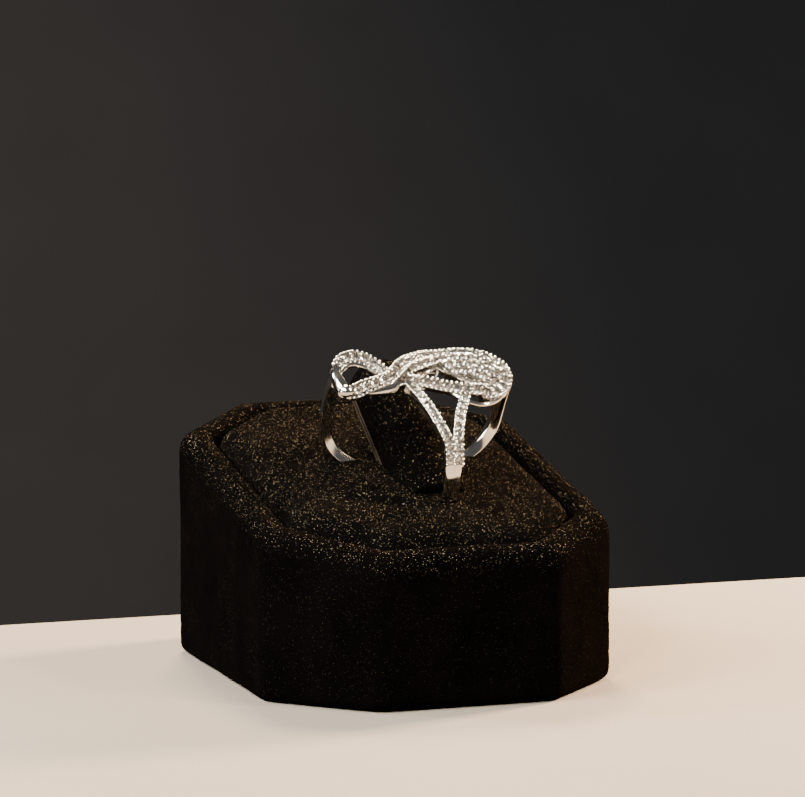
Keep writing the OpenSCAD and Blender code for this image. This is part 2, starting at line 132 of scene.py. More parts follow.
def per_mm(size: float) -> float:
    """The texture scale that gives a pattern whose step is size millimetres."""
    return 1 / (size * MM)


@dataclass(frozen=True)
class PolishedSilver:
    """Rhodium-plated silver, cast and polished."""

    # Rhodium is nearly white, and a little greyer where the polishing wheel reached less.
    colour: str = "#E9E7E2"
    shade: str = "#C9C5BD"
    smooth: float = 0.07
    worn: float = 0.17
    cloud: float = 1.4
    cloud_range: tuple[float, float] = (0.35, 0.7)
    # Polishing lines are finer than a pixel, so they are drawn 0.12 mm apart and very shallow.
    line: float = 0.12
    line_depth: float = 0.02
    line_strength: float = 0.05

    def material(self) -> Material:
        """Builds the material.

        Returns:
            The polished metal.
        """
        made, tree = new_material("rhodium_plated_silver_polished")
        place = add_node(tree, "ShaderNodeTexCoord")
        vector = {"Vector": place.outputs["Object"]}
        cloud = add_node(tree, "ShaderNodeTexNoise", {"Scale": per_mm(self.cloud), "Detail": 3.0}, vector)
        lines = add_node(tree, "ShaderNodeTexNoise", {"Scale": per_mm(self.line), "Detail": 2.0}, vector)
        colour = add_node(tree, "ShaderNodeMix",
                          {"data_type": "RGBA", 6: linear(self.colour), 7: linear(self.shade)},
                          {0: cloud.outputs["Fac"]})
        low, high = self.cloud_range
        rough = add_node(tree, "ShaderNodeMapRange",
                         {"From Min": low, "From Max": high, "To Min": self.smooth, "To Max": self.worn},
                         {"Value": cloud.outputs["Fac"]})
        bump = add_node(tree, "ShaderNodeBump",
                        {"Strength": self.line_strength, "Distance": self.line_depth * MM},
                        {"Height": lines.outputs["Fac"]})
        shader = add_node(tree, "ShaderNodeBsdfPrincipled", {"Metallic": 1.0},
                          {"Base Color": colour.outputs[2], "Roughness": rough.outputs["Result"],
                           "Normal": bump.outputs["Normal"]})
        add_node(tree, "ShaderNodeOutputMaterial", links={"Surface": shader.outputs["BSDF"]})
        return made


@dataclass(frozen=True)
class CutStone:
    """Clear cubic zirconia, faceted and polished."""

    # Its high refraction makes the facets flash white. The tint follows the cloud faintly.
    colour: str = "#FFFFFF"
    tint: str = "#FFF4E2"
    refraction: float = 2.15
    cloud: float = 1.3
    dullest: float = 0.03

    def material(self) -> Material:
        """Builds the material.

        Returns:
            The clear stone.
        """
        made, tree = new_material("cubic_zirconia_faceted")
        place = add_node(tree, "ShaderNodeTexCoord")
        cloud = add_node(tree, "ShaderNodeTexNoise", {"Scale": per_mm(self.cloud), "Detail": 1.0},
                         {"Vector": place.outputs["Object"]})
        colour = add_node(tree, "ShaderNodeMix",
                          {"data_type": "RGBA", 6: linear(self.colour), 7: linear(self.tint)},
                          {0: cloud.outputs["Fac"]})
        rough = add_node(tree, "ShaderNodeMapRange", {"To Min": 0.0, "To Max": self.dullest},
                         {"Value": cloud.outputs["Fac"]})
        shader = add_node(tree, "ShaderNodeBsdfPrincipled",
                          {"IOR": self.refraction, "Transmission Weight": 1.0},
                          {"Base Color": colour.outputs[2], "Roughness": rough.outputs["Result"]})
        add_node(tree, "ShaderNodeOutputMaterial", links={"Surface": shader.outputs["BSDF"]})
        return made


@dataclass(frozen=True)
class Velvet:
    """Cotton velvet with a cut pile, dyed black."""

    # The pile swallows light, so the cloth is near black. The fibre tips that glint are painted highlights:
    # bright cells mixed into the base colour.
    name: str
    colour: str = "#020202"
    brushed: str = "#040303"
    patch: float = 7.0
    patch_range: tuple[float, float] = (0.35, 0.68)
    # A real pile is finer than a pixel, so it is drawn coarse enough to show.
    pile: float = 0.11
    pile_height: float = 0.12
    pile_strength: float = 0.6
    # The tip colour is a painted highlight: the light that fibre tips catch, put into the base colour.
    tip: str = "#AA9C7E"
    glint_step: float = 0.1375
    glint_reach: tuple[float, float] = (0.42, 0.1)
    glint_share: float = 0.22
    rarity: float = 3.0
    # Painted top light: the painted glints are full on faces that look up and fade to wall_glint on upright
    # walls.
    wall_glint: float = 0.06
    painted_top_light: tuple[float, float] = (0.05, 0.8)
    rough: float = 0.92
    sheen: float = 0.01
    sheen_spread: float = 0.38
    sheen_tint: str = "#7A6450"

    def glints(self, tree: Tree, place: bpy.types.Node) -> Socket:
        """Adds painted highlights for the fibre tips that catch the light: the brightest cells, painted
        fainter on upright walls as painted top light.

        Args:
            tree: the material's nodes.
            place: its texture coordinates.

        Returns:
            How much painted highlight shows, from 0 to 1.
        """
        cells = add_node(tree, "ShaderNodeTexVoronoi", {"Scale": per_mm(self.glint_step)},
                         {"Vector": place.outputs["Object"]})
        which = add_node(tree, "ShaderNodeSeparateColor", links={"Color": cells.outputs["Color"]})
        chosen = add_node(tree, "ShaderNodeMapRange", {"From Min": 1 - self.glint_share, "From Max": 1.0},
                          {"Value": which.outputs["Red"]})
        rare = add_node(tree, "ShaderNodeMath", {"operation": "POWER", 1: self.rarity},
                        {0: chosen.outputs["Result"]})
        edge, core = self.glint_reach
        round_glint = add_node(tree, "ShaderNodeMapRange", {"From Min": edge, "From Max": core},
                             {"Value": cells.outputs["Distance"]})
        glint = add_node(tree, "ShaderNodeMath", {"operation": "MULTIPLY"},
                         {0: rare.outputs["Value"], 1: round_glint.outputs["Result"]})
        # Painted top light: the glints fade from faces that look up towards upright walls.
        way = add_node(tree, "ShaderNodeSeparateXYZ", links={"Vector": place.outputs["Normal"]})
        level, steep = self.painted_top_light
        painted_top_light = add_node(tree, "ShaderNodeMapRange",
                          {"From Min": level, "From Max": steep, "To Min": self.wall_glint, "To Max": 1.0},
                          {"Value": way.outputs["Z"]})
        shown = add_node(tree, "ShaderNodeMath", {"operation": "MULTIPLY"},
                         {0: glint.outputs["Value"], 1: painted_top_light.outputs["Result"]})
        return shown.outputs["Value"]

    def material(self) -> Material:
        """Builds the material.

        Returns:
            The velvet.
        """
        made, tree = new_material(self.name)
        place = add_node(tree, "ShaderNodeTexCoord")
        vector = {"Vector": place.outputs["Object"]}
        patches = add_node(tree, "ShaderNodeTexNoise",
                           {"Scale": per_mm(self.patch), "Detail": 4.0, "Roughness": 0.6}, vector)
        low, high = self.patch_range
        stroked = add_node(tree, "ShaderNodeMapRange", {"From Min": low, "From Max": high},
                           {"Value": patches.outputs["Fac"]})
        ground = add_node(tree, "ShaderNodeMix",
                          {"data_type": "RGBA", 6: linear(self.colour), 7: linear(self.brushed)},
                          {0: stroked.outputs["Result"]})
        # Painted highlight: the glint cells are mixed into the base colour.
        colour = add_node(tree, "ShaderNodeMix", {"data_type": "RGBA", 7: linear(self.tip)},
                          {0: self.glints(tree, place), 6: ground.outputs[2]})
        pile = add_node(tree, "ShaderNodeTexNoise", {"Scale": per_mm(self.pile), "Detail": 2.0}, vector)
        bump = add_node(tree, "ShaderNodeBump",
                        {"Strength": self.pile_strength, "Distance": self.pile_height * MM},
                        {"Height": pile.outputs["Fac"]})
        shader = add_node(tree, "ShaderNodeBsdfPrincipled",
                          {"Roughness": self.rough, "Specular IOR Level": 0.0, "Sheen Weight": self.sheen,
                           "Sheen Roughness": self.sheen_spread, "Sheen Tint": linear(self.sheen_tint)},
                          {"Base Color": colour.outputs[2], "Normal": bump.outputs["Normal"]})
        add_node(tree, "ShaderNodeOutputMaterial", links={"Surface": shader.outputs["BSDF"]})
        return made


@dataclass(frozen=True)
class MattPaper:
    """Matt coloured paper, for the table and the backdrop."""

    # The paper is even, with a faint slow cloud and almost no shine.
    name: str
    colour: str
    other: str
    cloud: float = 40
    rough: float = 0.85
    shine: float = 0.08

    def material(self) -> Material:
        """Builds the material.

        Returns:
            The paper.
        """
        made, tree = new_material(self.name)
        place = add_node(tree, "ShaderNodeTexCoord")
        cloud = add_node(tree, "ShaderNodeTexNoise", {"Scale": per_mm(self.cloud), "Detail": 4.0},
                         {"Vector": place.outputs["Object"]})
        colour = add_node(tree, "ShaderNodeMix",
                          {"data_type": "RGBA", 6: linear(self.colour), 7: linear(self.other)},
                          {0: cloud.outputs["Fac"]})
        shader = add_node(tree, "ShaderNodeBsdfPrincipled",
                          {"Roughness": self.rough, "Specular IOR Level": self.shine},
                          {"Base Color": colour.outputs[2]})
        add_node(tree, "ShaderNodeOutputMaterial", links={"Surface": shader.outputs["BSDF"]})
        return made


# Mesh work


def leave_edit() -> None:
    """Leaves edit mode and deselects every object."""
    if bpy.context.object and bpy.context.object.mode != "OBJECT":
        bpy.ops.object.mode_set(mode="OBJECT")
    bpy.ops.object.select_all(action="DESELECT")


def pick_object(obj: Piece) -> None:
    """Makes a piece the only selected object.

    Args:
        obj: the piece.
    """
    leave_edit()
    obj.select_set(True)
    bpy.context.view_layer.objects.active = obj


def flatten(obj: Piece) -> None:
    """Applies a piece's place, turn and scale to its mesh."""
    pick_object(obj)
    bpy.ops.object.transform_apply(location=True, rotation=True, scale=True)


def apply_modifier(obj: Piece, kind: str, **settings: object) -> None:
    """Adds a modifier and applies it.

    Args:
        obj: the piece.
        kind: the modifier's type.
        settings: the modifier's properties.
    """
    pick_object(obj)
    modifier = obj.modifiers.new(kind.lower(), kind)
    for name, value in settings.items():
        setattr(modifier, name, value)
    bpy.ops.object.modifier_apply(modifier=modifier.name)


def face_outwards(obj: Piece, merge: float = 0.0005 * MM) -> None:
    """Merges doubles and turns every face outwards.

    Args:
        obj: the piece.
        merge: how near two points are that become one, in metres.
    """
    pick_object(obj)
    bpy.ops.object.mode_set(mode="EDIT")
    bpy.ops.mesh.select_all(action="SELECT")
    bpy.ops.mesh.remove_doubles(threshold=merge)
    bpy.ops.mesh.normals_make_consistent(inside=False)
    leave_edit()


def smooth_shade(obj: Piece, degrees: float) -> None:
    """Shades a piece smooth, with creases where faces meet at more than the angle."""
    pick_object(obj)
    bpy.ops.object.shade_smooth_by_angle(angle=math.radians(degrees))


def loft(name: str, sections: list[list[Vector]], closed: bool = False) -> Piece:
    """Extrudes a circle's edge loop from section to section.

    Args:
        name: the piece's name.
        sections: lists of points, all of one length.
        closed: whether the last section joins the first.

    Returns:
        The piece, with its place in its mesh.
    """
    leave_edit()
    count = len(sections[0])
    bpy.ops.mesh.primitive_circle_add(vertices=count, radius=1, fill_type="NOTHING" if closed else "NGON")
    obj = bpy.context.object
    obj.name = name
    bpy.ops.object.mode_set(mode="EDIT")
    # Only with points selected does the extrusion keep their order.
    bpy.ops.mesh.select_mode(type="VERT")
    mesh = bmesh.from_edit_mesh(obj.data)
    mesh.verts.ensure_lookup_table()
    for vert, point in zip(mesh.verts, sections[0]):
        vert.co = point
    bmesh.update_edit_mesh(obj.data)
    bpy.ops.mesh.select_all(action="SELECT")
    for section in [*sections[1:], *([sections[0]] if closed else [])]:
        bpy.ops.mesh.extrude_region_move()
        mesh = bmesh.from_edit_mesh(obj.data)
        for vert, point in zip([v for v in mesh.verts if v.select], section):
            vert.co = point
        bmesh.update_edit_mesh(obj.data)
    leave_edit()
    face_outwards(obj)
    return obj


def join(name: str, parts: list[Piece]) -> Piece:
    """Joins parts into one piece.

    Args:
        name: the joined piece's name.
        parts: the parts, each of which is used up.

    Returns:
        The joined piece.
    """
    leave_edit()
    for part in parts:
        part.select_set(True)
    bpy.context.view_layer.objects.active = parts[0]
    if len(parts) > 1:
        bpy.ops.object.join()
    parts[0].name = name
    parts[0].data.name = name
    return parts[0]


def placed_copies(name: str, model: Piece, places: list[Matrix]) -> Piece:
    """Copies a small model to each place and joins the copies.

    Args:
        name: the joined piece's name.
        model: the shape that repeats, which is used up.
        places: where each copy goes.

    Returns:
        The joined piece.
    """
    copies = []
    for place in places:
        mesh = model.data.copy()
        mesh.transform(place)
        copy = bpy.data.objects.new(name, mesh)
        bpy.context.collection.objects.link(copy)
        copies.append(copy)
    bpy.data.objects.remove(model)
    return join(name, copies)


def corners(obj: Piece) -> tuple[Vector, Vector]:
    """The lowest and highest corner of a piece's mesh."""
    points = np.array([vert.co for vert in obj.data.vertices])
    return Vector(points.min(axis=0)), Vector(points.max(axis=0))


def finish_piece(obj: Piece, material: Material,
                 nodes: Sequence[str]) -> Piece:
    """Dresses a piece and gives it to the frame.

    Args:
        obj: the piece.
        material: its material.
        nodes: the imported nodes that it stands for.

    Returns:
        The piece.
    """
    obj.data.materials.clear()
    obj.data.materials.append(material)
    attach(obj, "root")
    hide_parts(*nodes)
    size = [round((hi - lo) / MM, 2) for lo, hi in zip(*corners(obj))]
    log.info("%s: %d faces, %s mm", obj.name, len(obj.data.polygons), size)
    return obj


# The ring's own frame, and smooth rows through a table


@dataclass(frozen=True)
class RingFrame:
    """Where the ring stands on the stand, and where its head's plane is. Millimetres and degrees."""

    x: float = 2.4
    front: float = 8.1
    z: float = 29.1
    lean: float = 10
    head_tilt: float = 28
    head_rise: float = 11
    head_across: float = -1

    def matrix(self) -> Matrix:
        """From ring millimetres to the row frame's metres."""
        turn = Matrix.Rotation(math.radians(self.lean), 4, "X")
        return Matrix.Scale(MM, 4) @ Matrix.Translation((self.x, -self.front, self.z)) @ turn

    def tilted(self, up: float, height: float) -> tuple[float, float]:
        """Turns a step up the head's slope and off its face to a step away and up."""
        c, s = math.cos(math.radians(self.head_tilt)), math.sin(math.radians(self.head_tilt))
        return up * c - height * s, up * s + height * c

    def head_point(self, along: float, up: float, height: float) -> Vector:
        """A point of the head, in ring millimetres."""
        away, rise = self.tilted(up, height)
        return Vector((along, self.head_across + away, self.head_rise + rise))

    def head_dir(self, along: float, up: float) -> Vector:
        """The direction of a face that leans by those tangents, in ring coordinates."""
        return Vector((along, *self.tilted(up, 1))).normalized()

    @staticmethod
    def round_point(across: float, angle: float, radius: float) -> Vector:
        """A point round the finger, in ring millimetres."""
        turn = math.radians(angle)
        return Vector((across, radius * math.sin(turn), radius * math.cos(turn)))


def smooth(rows: Sequence[Row], steps: int) -> list[np.ndarray]:
    """Rows between a table's rows, on a smooth curve through all of them.

    Args:
        rows: the table.
        steps: how many rows come from one to the next.

    Returns:
        The rows.
    """
    table = [np.array(row, float) for row in rows]
    last = len(table) - 1
    out = []
    for k in range(steps * last + 1):
        i = min(k // steps, last - 1)
        t = k / steps - i
        a, b, c, d = table[max(i - 1, 0)], table[i], table[i + 1], table[min(i + 2, last)]
        bend = (2 * a - 5 * b + 4 * c - d) * t * t + (3 * b - a - 3 * c + d) * t ** 3
        out.append(0.5 * (2 * b + (c - a) * t + bend))
    return out


@dataclass
class Station:
    """A place along a strand: its point, its face's direction, and its width and thickness."""

    point: Vector
    face: Vector
    width: float = 0
    thickness: float = 0


def directions(stations: list[Station]) -> list[tuple[Vector, Vector]]:
    """The strand's own directions at each station.

    Args:
        stations: the places along it.

    Returns:
        For each, the direction off its face and the direction across it.
    """
    last = len(stations) - 1
    out = []
    for i, station in enumerate(stations):
        ahead = (stations[min(i + 1, last)].point - stations[max(i - 1, 0)].point).normalized()
        up = (station.face - ahead * station.face.dot(ahead)).normalized()
        out.append((up, ahead.cross(up)))
    return out


def sections_of(stations: list[Station], profile: Profile, place: Matrix) -> list[list[Vector]]:
    """The sections of a strand.

    Args:
        stations: the places along it.
        profile: the outline for a width and a thickness, across and over the face.
        place: from the strand's frame to the row frame.

    Returns:
        One list of points for each station.
    """
    out = []
    for station, (up, side) in zip(stations, directions(stations)):
        outline = profile(station.width, station.thickness)
        out.append([place @ (station.point + side * x + up * y) for x, y in outline])
    return out


def rounded(points: Sequence[Row], steps: int = 4) -> Outline:
    """Rounds the corners of an outline.

    Args:
        points: corners as across, over and the corner's radius.
        steps: the parts that each round corner has.

    Returns:
        The rounded outline.
    """
    out = []
    for i, (x, y, radius) in enumerate(points):
        here = Vector((x, y))
        back, on = Vector(points[i - 1][:2]), Vector(points[(i + 1) % len(points)][:2])
        if not radius:
            out.append((x, y))
            continue
        start, end = here + (back - here).normalized() * radius, here + (on - here).normalized() * radius
        for k in range(steps + 1):
            t = k / steps
            out.append(tuple(start * (1 - t) ** 2 + here * 2 * t * (1 - t) + end * t * t))
    return out


def bar_profile(corner: float, dome: float = 0.0) -> Profile:
    """A solid bar's outline, with a face that swells.

    Args:
        corner: the radius of the face's corners; those underneath are a little sharper.
        dome: how far the middle of the face stands over its edges.

    Returns:
        The outline's function of width and thickness.
    """
    under = corner * 0.7

    def outline(w: float, t: float) -> Outline:
        """Draws the bar's outline.

        Args:
            w: its width.
            t: its thickness.

        Returns:
            The points, across and over the face.
        """
        h, quarter = w / 2, -dome / 4
        top = [(-h, -dome, corner), (-h / 2, quarter, 0), (0, 0, 0), (h / 2, quarter, 0), (h, -dome, corner)]
        return rounded([*top, (h, -t, under), (-h, -t, under)])

    return outline


def channel_profile(edge: float, depth: float, corner: float = 0.07, foot: float = 0.22) -> Profile:
    """A paved strand's outline: two thin walls with round tops, and a floor that the stones sit in.

    Args:
        edge: the walls' thickness.
        depth: the floor's depth under their tops.
        corner: the radius of the walls' outer corners.
        foot: the radius of the lower corners.

    Returns:
        The outline's function of width and thickness.
    """
    lip = edge * 0.4

    def outline(w: float, t: float) -> Outline:
        """Draws the strand's outline.

        Args:
            w: its width.
            t: its thickness.

        Returns:
            The points, across and over the face.
        """
        h, inner = w / 2, w / 2 - edge
        left = [(-h, 0, corner), (-inner, 0, lip), (-inner, -depth, 0)]
        right = [(-x, y, radius) for x, y, radius in reversed(left)]
        return rounded([*left, *right, (h, -t, foot), (-h, -t, foot)], 3)

    return outline


def wire_profile(radius: float, count: int = 12) -> Profile:
    """A round wire's outline, the same at every station."""
    turns = [2 * math.pi * i / count for i in range(count)]
    return lambda w, t: [(radius * math.cos(a), -radius * math.sin(a)) for a in turns]


# The stones and what holds them


@dataclass
class Seat:
    """Where a stone sits: its girdle's centre, the way it faces, a way across it, and its diameter."""

    centre: Vector
    face: Vector
    across: Vector
    diameter: float
    node: str


def islands(mesh: bmesh.types.BMesh) -> list[np.ndarray]:
    """Parts a mesh into its loose pieces.

    Args:
        mesh: the mesh, with its doubles merged.

    Returns:
        The points of each piece.
    """
    seen: set[bmesh.types.BMVert] = set()
    out = []
    for first in mesh.verts:
        if first in seen:
            continue
        island, todo = [], [first]
        seen.add(first)
        while todo:
            vert = todo.pop()
            island.append(vert.co.copy())
            for edge in vert.link_edges:
                other = edge.other_vert(vert)
                if other not in seen:
                    seen.add(other)
                    todo.append(other)
        out.append(np.array(island))
    return out


def read_seats(node: str) -> list[Seat]:
    """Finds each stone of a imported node.

    Args:
        node: the node's name.

    Returns:
        The seats, in the row frame.
    """
    girdle_share = 0.97
    mesh = bmesh.new()
    mesh.from_mesh(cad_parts[node].data)
    bmesh.ops.remove_doubles(mesh, verts=mesh.verts, dist=SAME_POINT * MM)
    seats = []
    for points in islands(mesh):
        middle = points.mean(axis=0)
        # A stone is thinnest along its axis, and its point is the long side of it.
        _, axes = np.linalg.eigh(np.cov((points - middle).T))
        face = axes[:, 0]
        heights = (points - middle) @ face
        if (heights ** 3).sum() > 0:
            face, heights = -face, -heights
        flat = points - middle - np.outer(heights, face)
        radii = np.linalg.norm(flat, axis=1)
        girdle = radii > radii.max() * girdle_share
        centre = middle + face * heights[girdle].mean()
        across = Vector(flat[radii.argmax()]).normalized()
        seats.append(Seat(Vector(centre), Vector(face), across, 2 * float(radii.max()), node))
    mesh.free()
    return seats


@dataclass
class Stones:
    """The cut stones of one node: one brilliant, copied to each seat. Sizes for a diameter of 1."""

    node: str
    table: float = 0.29
    bezel: float = 0.405
    bezel_up: float = 0.62
    crown: float = 0.15
    girdle: float = 0.012
    lower: float = 0.14
    lower_down: float = 0.76
    pavilion: float = 0.42
    culet: float = 0.012

    def rings(self) -> list[tuple[int, float, float, float]]:
        """The rings of corners from the table down: how many, radius, height, and turn in eighths."""
        return [
            (8, self.table, self.crown, 0.0),
            (8, self.bezel, self.crown * self.bezel_up, 0.5),
            (16, 0.5, self.girdle, 0.25),
            (16, 0.5, -self.girdle, 0.25),
            (8, self.lower, -self.pavilion * self.lower_down, 0.0),
            (8, self.culet, -self.pavilion, 0.0),
        ]

    def model(self) -> Piece:
        """Cuts one stone as the hull of its rings of corners.

        Returns:
            The stone.
        """
        leave_edit()
        for i, (count, radius, height, turn) in enumerate(self.rings()):
            if i == 1:
                bpy.ops.object.mode_set(mode="EDIT")
            bpy.ops.mesh.primitive_circle_add(vertices=count, radius=radius, location=(0, 0, height),
                                              rotation=(0, 0, turn * math.pi / 4))
        bpy.ops.mesh.select_all(action="SELECT")
        bpy.ops.mesh.convex_hull()
        leave_edit()
        obj = bpy.context.object
        flatten(obj)
        return obj

    def build(self, seats: list[Seat], material: Material) -> Piece:
        """Sets the stones.

        Args:
            seats: their seats.
            material: the stone.

        Returns:
            The piece.
        """
        places = []
        for seat in seats:
            turn = Matrix((seat.across, seat.face.cross(seat.across), seat.face)).transposed().to_4x4()
            places.append(Matrix.Translation(seat.centre) @ turn @ Matrix.Scale(seat.diameter, 4))
        obj = placed_copies(self.node + "_cut", self.model(), places)
        return finish_piece(obj, material, [self.node])


@dataclass
class Beads:
    """The beads of metal that hold the stones, raised between neighbours. Millimetres."""

    radius: float = 0.16
    offset: float = 0.37
    lift: float = 0.1
    reach: float = 0.42
    same_way: float = 0.8
    into_stone: float = 0.06
    spacing: float = 1.5
    near: float = 2
    root: float = 1.7

    def model(self) -> Piece:
        """Rounds one bead of radius 1, drawn out below so that it roots in the metal.

        Returns:
            The bead.
        """
        leave_edit()
        bpy.ops.mesh.primitive_uv_sphere_add(segments=8, ring_count=5, radius=1)
        obj = bpy.context.object
        for vert in obj.data.vertices:
            vert.co.z *= self.root if vert.co.z < 0 else 1
        for face in obj.data.polygons:
            face.use_smooth = True
        return obj

    def between(self, a: Seat, b: Seat) -> FacedLine:
        """The two bead places beside the line from one stone to its neighbour.

        Args:
            a: one stone's seat.
            b: the other's.

        Returns:
            The places with their directions, or none where the stones aren't neighbours.
        """
        step, span = b.centre - a.centre, (a.diameter + b.diameter) / 2
        if step.length > span + self.reach * MM or a.face.dot(b.face) < self.same_way:
            return []
        face = (a.face + b.face).normalized()
        side = face.cross(step).normalized() * span * self.offset
        middle = (a.centre + b.centre) / 2 + face * self.lift * MM
        return [(middle - side, face), (middle + side, face)]

    def clear_of(self, spot: Vector, face: Vector, seats: list[Seat]) -> bool:
        """Whether a bead stands clear of every stone.

        Args:
            spot: the bead's place.
            face: its direction.
            seats: the stones' seats.

        Returns:
            True where it does.
        """
        for seat in seats:
            away = spot - seat.centre
            across = away - face * away.dot(face)
            over = across.length <= seat.diameter / 2 - self.into_stone * MM
            if over and away.length < self.near * MM:
                return False
        return True

    def build(self, seats: list[Seat], material: Material) -> Piece:
        """Raises the beads as one piece.

        Args:
            seats: every stone's seat.
            material: the metal.

        Returns:
            The piece.
        """
        found = [place for i, a in enumerate(seats) for b in seats[i + 1:] for place in self.between(a, b)]
        kept: FacedLine = []
        for spot, face in found:
            apart = all((spot - other).length > self.radius * self.spacing * MM for other, _ in kept)
            if apart and self.clear_of(spot, face, seats):
                kept.append((spot, face))
        size = Matrix.Scale(self.radius * MM, 4)
        places = [Matrix.Translation(spot) @ face.to_track_quat("Z", "Y").to_matrix().to_4x4() @ size
                  for spot, face in kept]
        obj = placed_copies("holding_beads", self.model(), places)
        return finish_piece(obj, material, ["ring_metal"])


@dataclass
class RimBeads:
    """The fine beads raised along the edges of the paved strands and of the crest. Millimetres."""

    at: RingFrame
    pitch: float = 0.62
    radius: float = 0.18
    inset: float = 0.07
    lift: float = 0.04

    def along(self, line: FacedLine) -> list[Matrix]:
        """Places at equal steps along a line.

        Args:
            line: points with their face directions, in ring millimetres.

        Returns:
            One matrix for each bead, in the row frame.
        """
        out, left = [], self.pitch / 2
        for (a, up_a), (b, up_b) in zip(line, line[1:]):
            length = (b - a).length
            while left <= length and length > 0:
                t = left / length
                up = up_a.lerp(up_b, t).normalized()
                turn = up.to_track_quat("Z", "Y").to_matrix().to_4x4()
                spot = a.lerp(b, t) + up * self.lift
                out.append(self.at.matrix() @ Matrix.Translation(spot) @ turn @ Matrix.Scale(self.radius, 4))
                left += self.pitch
            left -= length
        return out

    def on_strand(self, stations: list[Station]) -> list[Matrix]:
        """Places along both edges of a strand.

        Args:
            stations: the places along it.

        Returns:
            One matrix for each bead, in the row frame.
        """
        out = []
        for sign in (-1, 1):
            line = [(station.point + side * sign * (station.width / 2 - self.inset), up)
                    for station, (up, side) in zip(stations, directions(stations))]
            out += self.along(line)
        return out

    def build(self, strands: list[list[Station]], crest: FacedLine, model: Piece,
              material: Material) -> Piece:
        """Raises the beads.

        Args:
            strands: the paved strands' stations.
            crest: the line of the crest's rim.
            model: one bead, which is used up.
            material: the metal.

        Returns:
            The piece.
        """
        places = [place for stations in strands for place in self.on_strand(stations)] + self.along(crest)
        return finish_piece(placed_copies("rim_beads", model, places), material, ["ring_metal"])


@dataclass
class Claws:
    """Pointed claws under the large stones, on the side of the strand that faces the viewer. Millimetres."""

    at: RingFrame
    top: float = 0.3
    point: float = 0.05
    length: float = 1.0
    flat: float = 0.35
    drop: float = 0.22
    sides: int = 10
    reach: tuple[tuple[str, float], ...] = (("crossing_stones", 0.8), ("front_stones", 0.7))

    def model(self) -> Piece:
        """Makes one claw: a flattened cone that points down from the origin.

        Returns:
            The claw.
        """
        leave_edit()
        bpy.ops.mesh.primitive_cone_add(
            vertices=self.sides, radius1=self.top * MM, radius2=self.point * MM, depth=self.length * MM,
            location=(0, 0, -self.length / 2 * MM), rotation=(math.pi, 0, 0))
        obj = bpy.context.object
        flatten(obj)
        obj.data.transform(Matrix.Diagonal((1, self.flat, 1, 1)))
        return obj

    def build(self, seats: list[Seat], material: Material) -> Piece:
        """Stands one claw under each stone of the nodes that reach names.

        Args:
            seats: every stone's seat.
            material: the metal.

        Returns:
            The piece.
        """
        near = (self.at.matrix().to_3x3() @ self.at.head_dir(0, -1)).normalized()
        places, reach = [], dict(self.reach)
        for seat in [seat for seat in seats if seat.node in reach]:
            outward = (near - seat.face * near.dot(seat.face)).normalized()
            turn = Matrix((seat.face.cross(outward), -outward, seat.face)).transposed().to_4x4()
            spot = seat.centre + (outward * reach[seat.node] - seat.face * self.drop) * MM
            places.append(Matrix.Translation(spot) @ turn)
        obj = placed_copies("claws_under_large_stones", self.model(), places)
        smooth_shade(obj, ROUND_CREASE)
        return finish_piece(obj, material, ["ring_metal"])


# The ring's metal


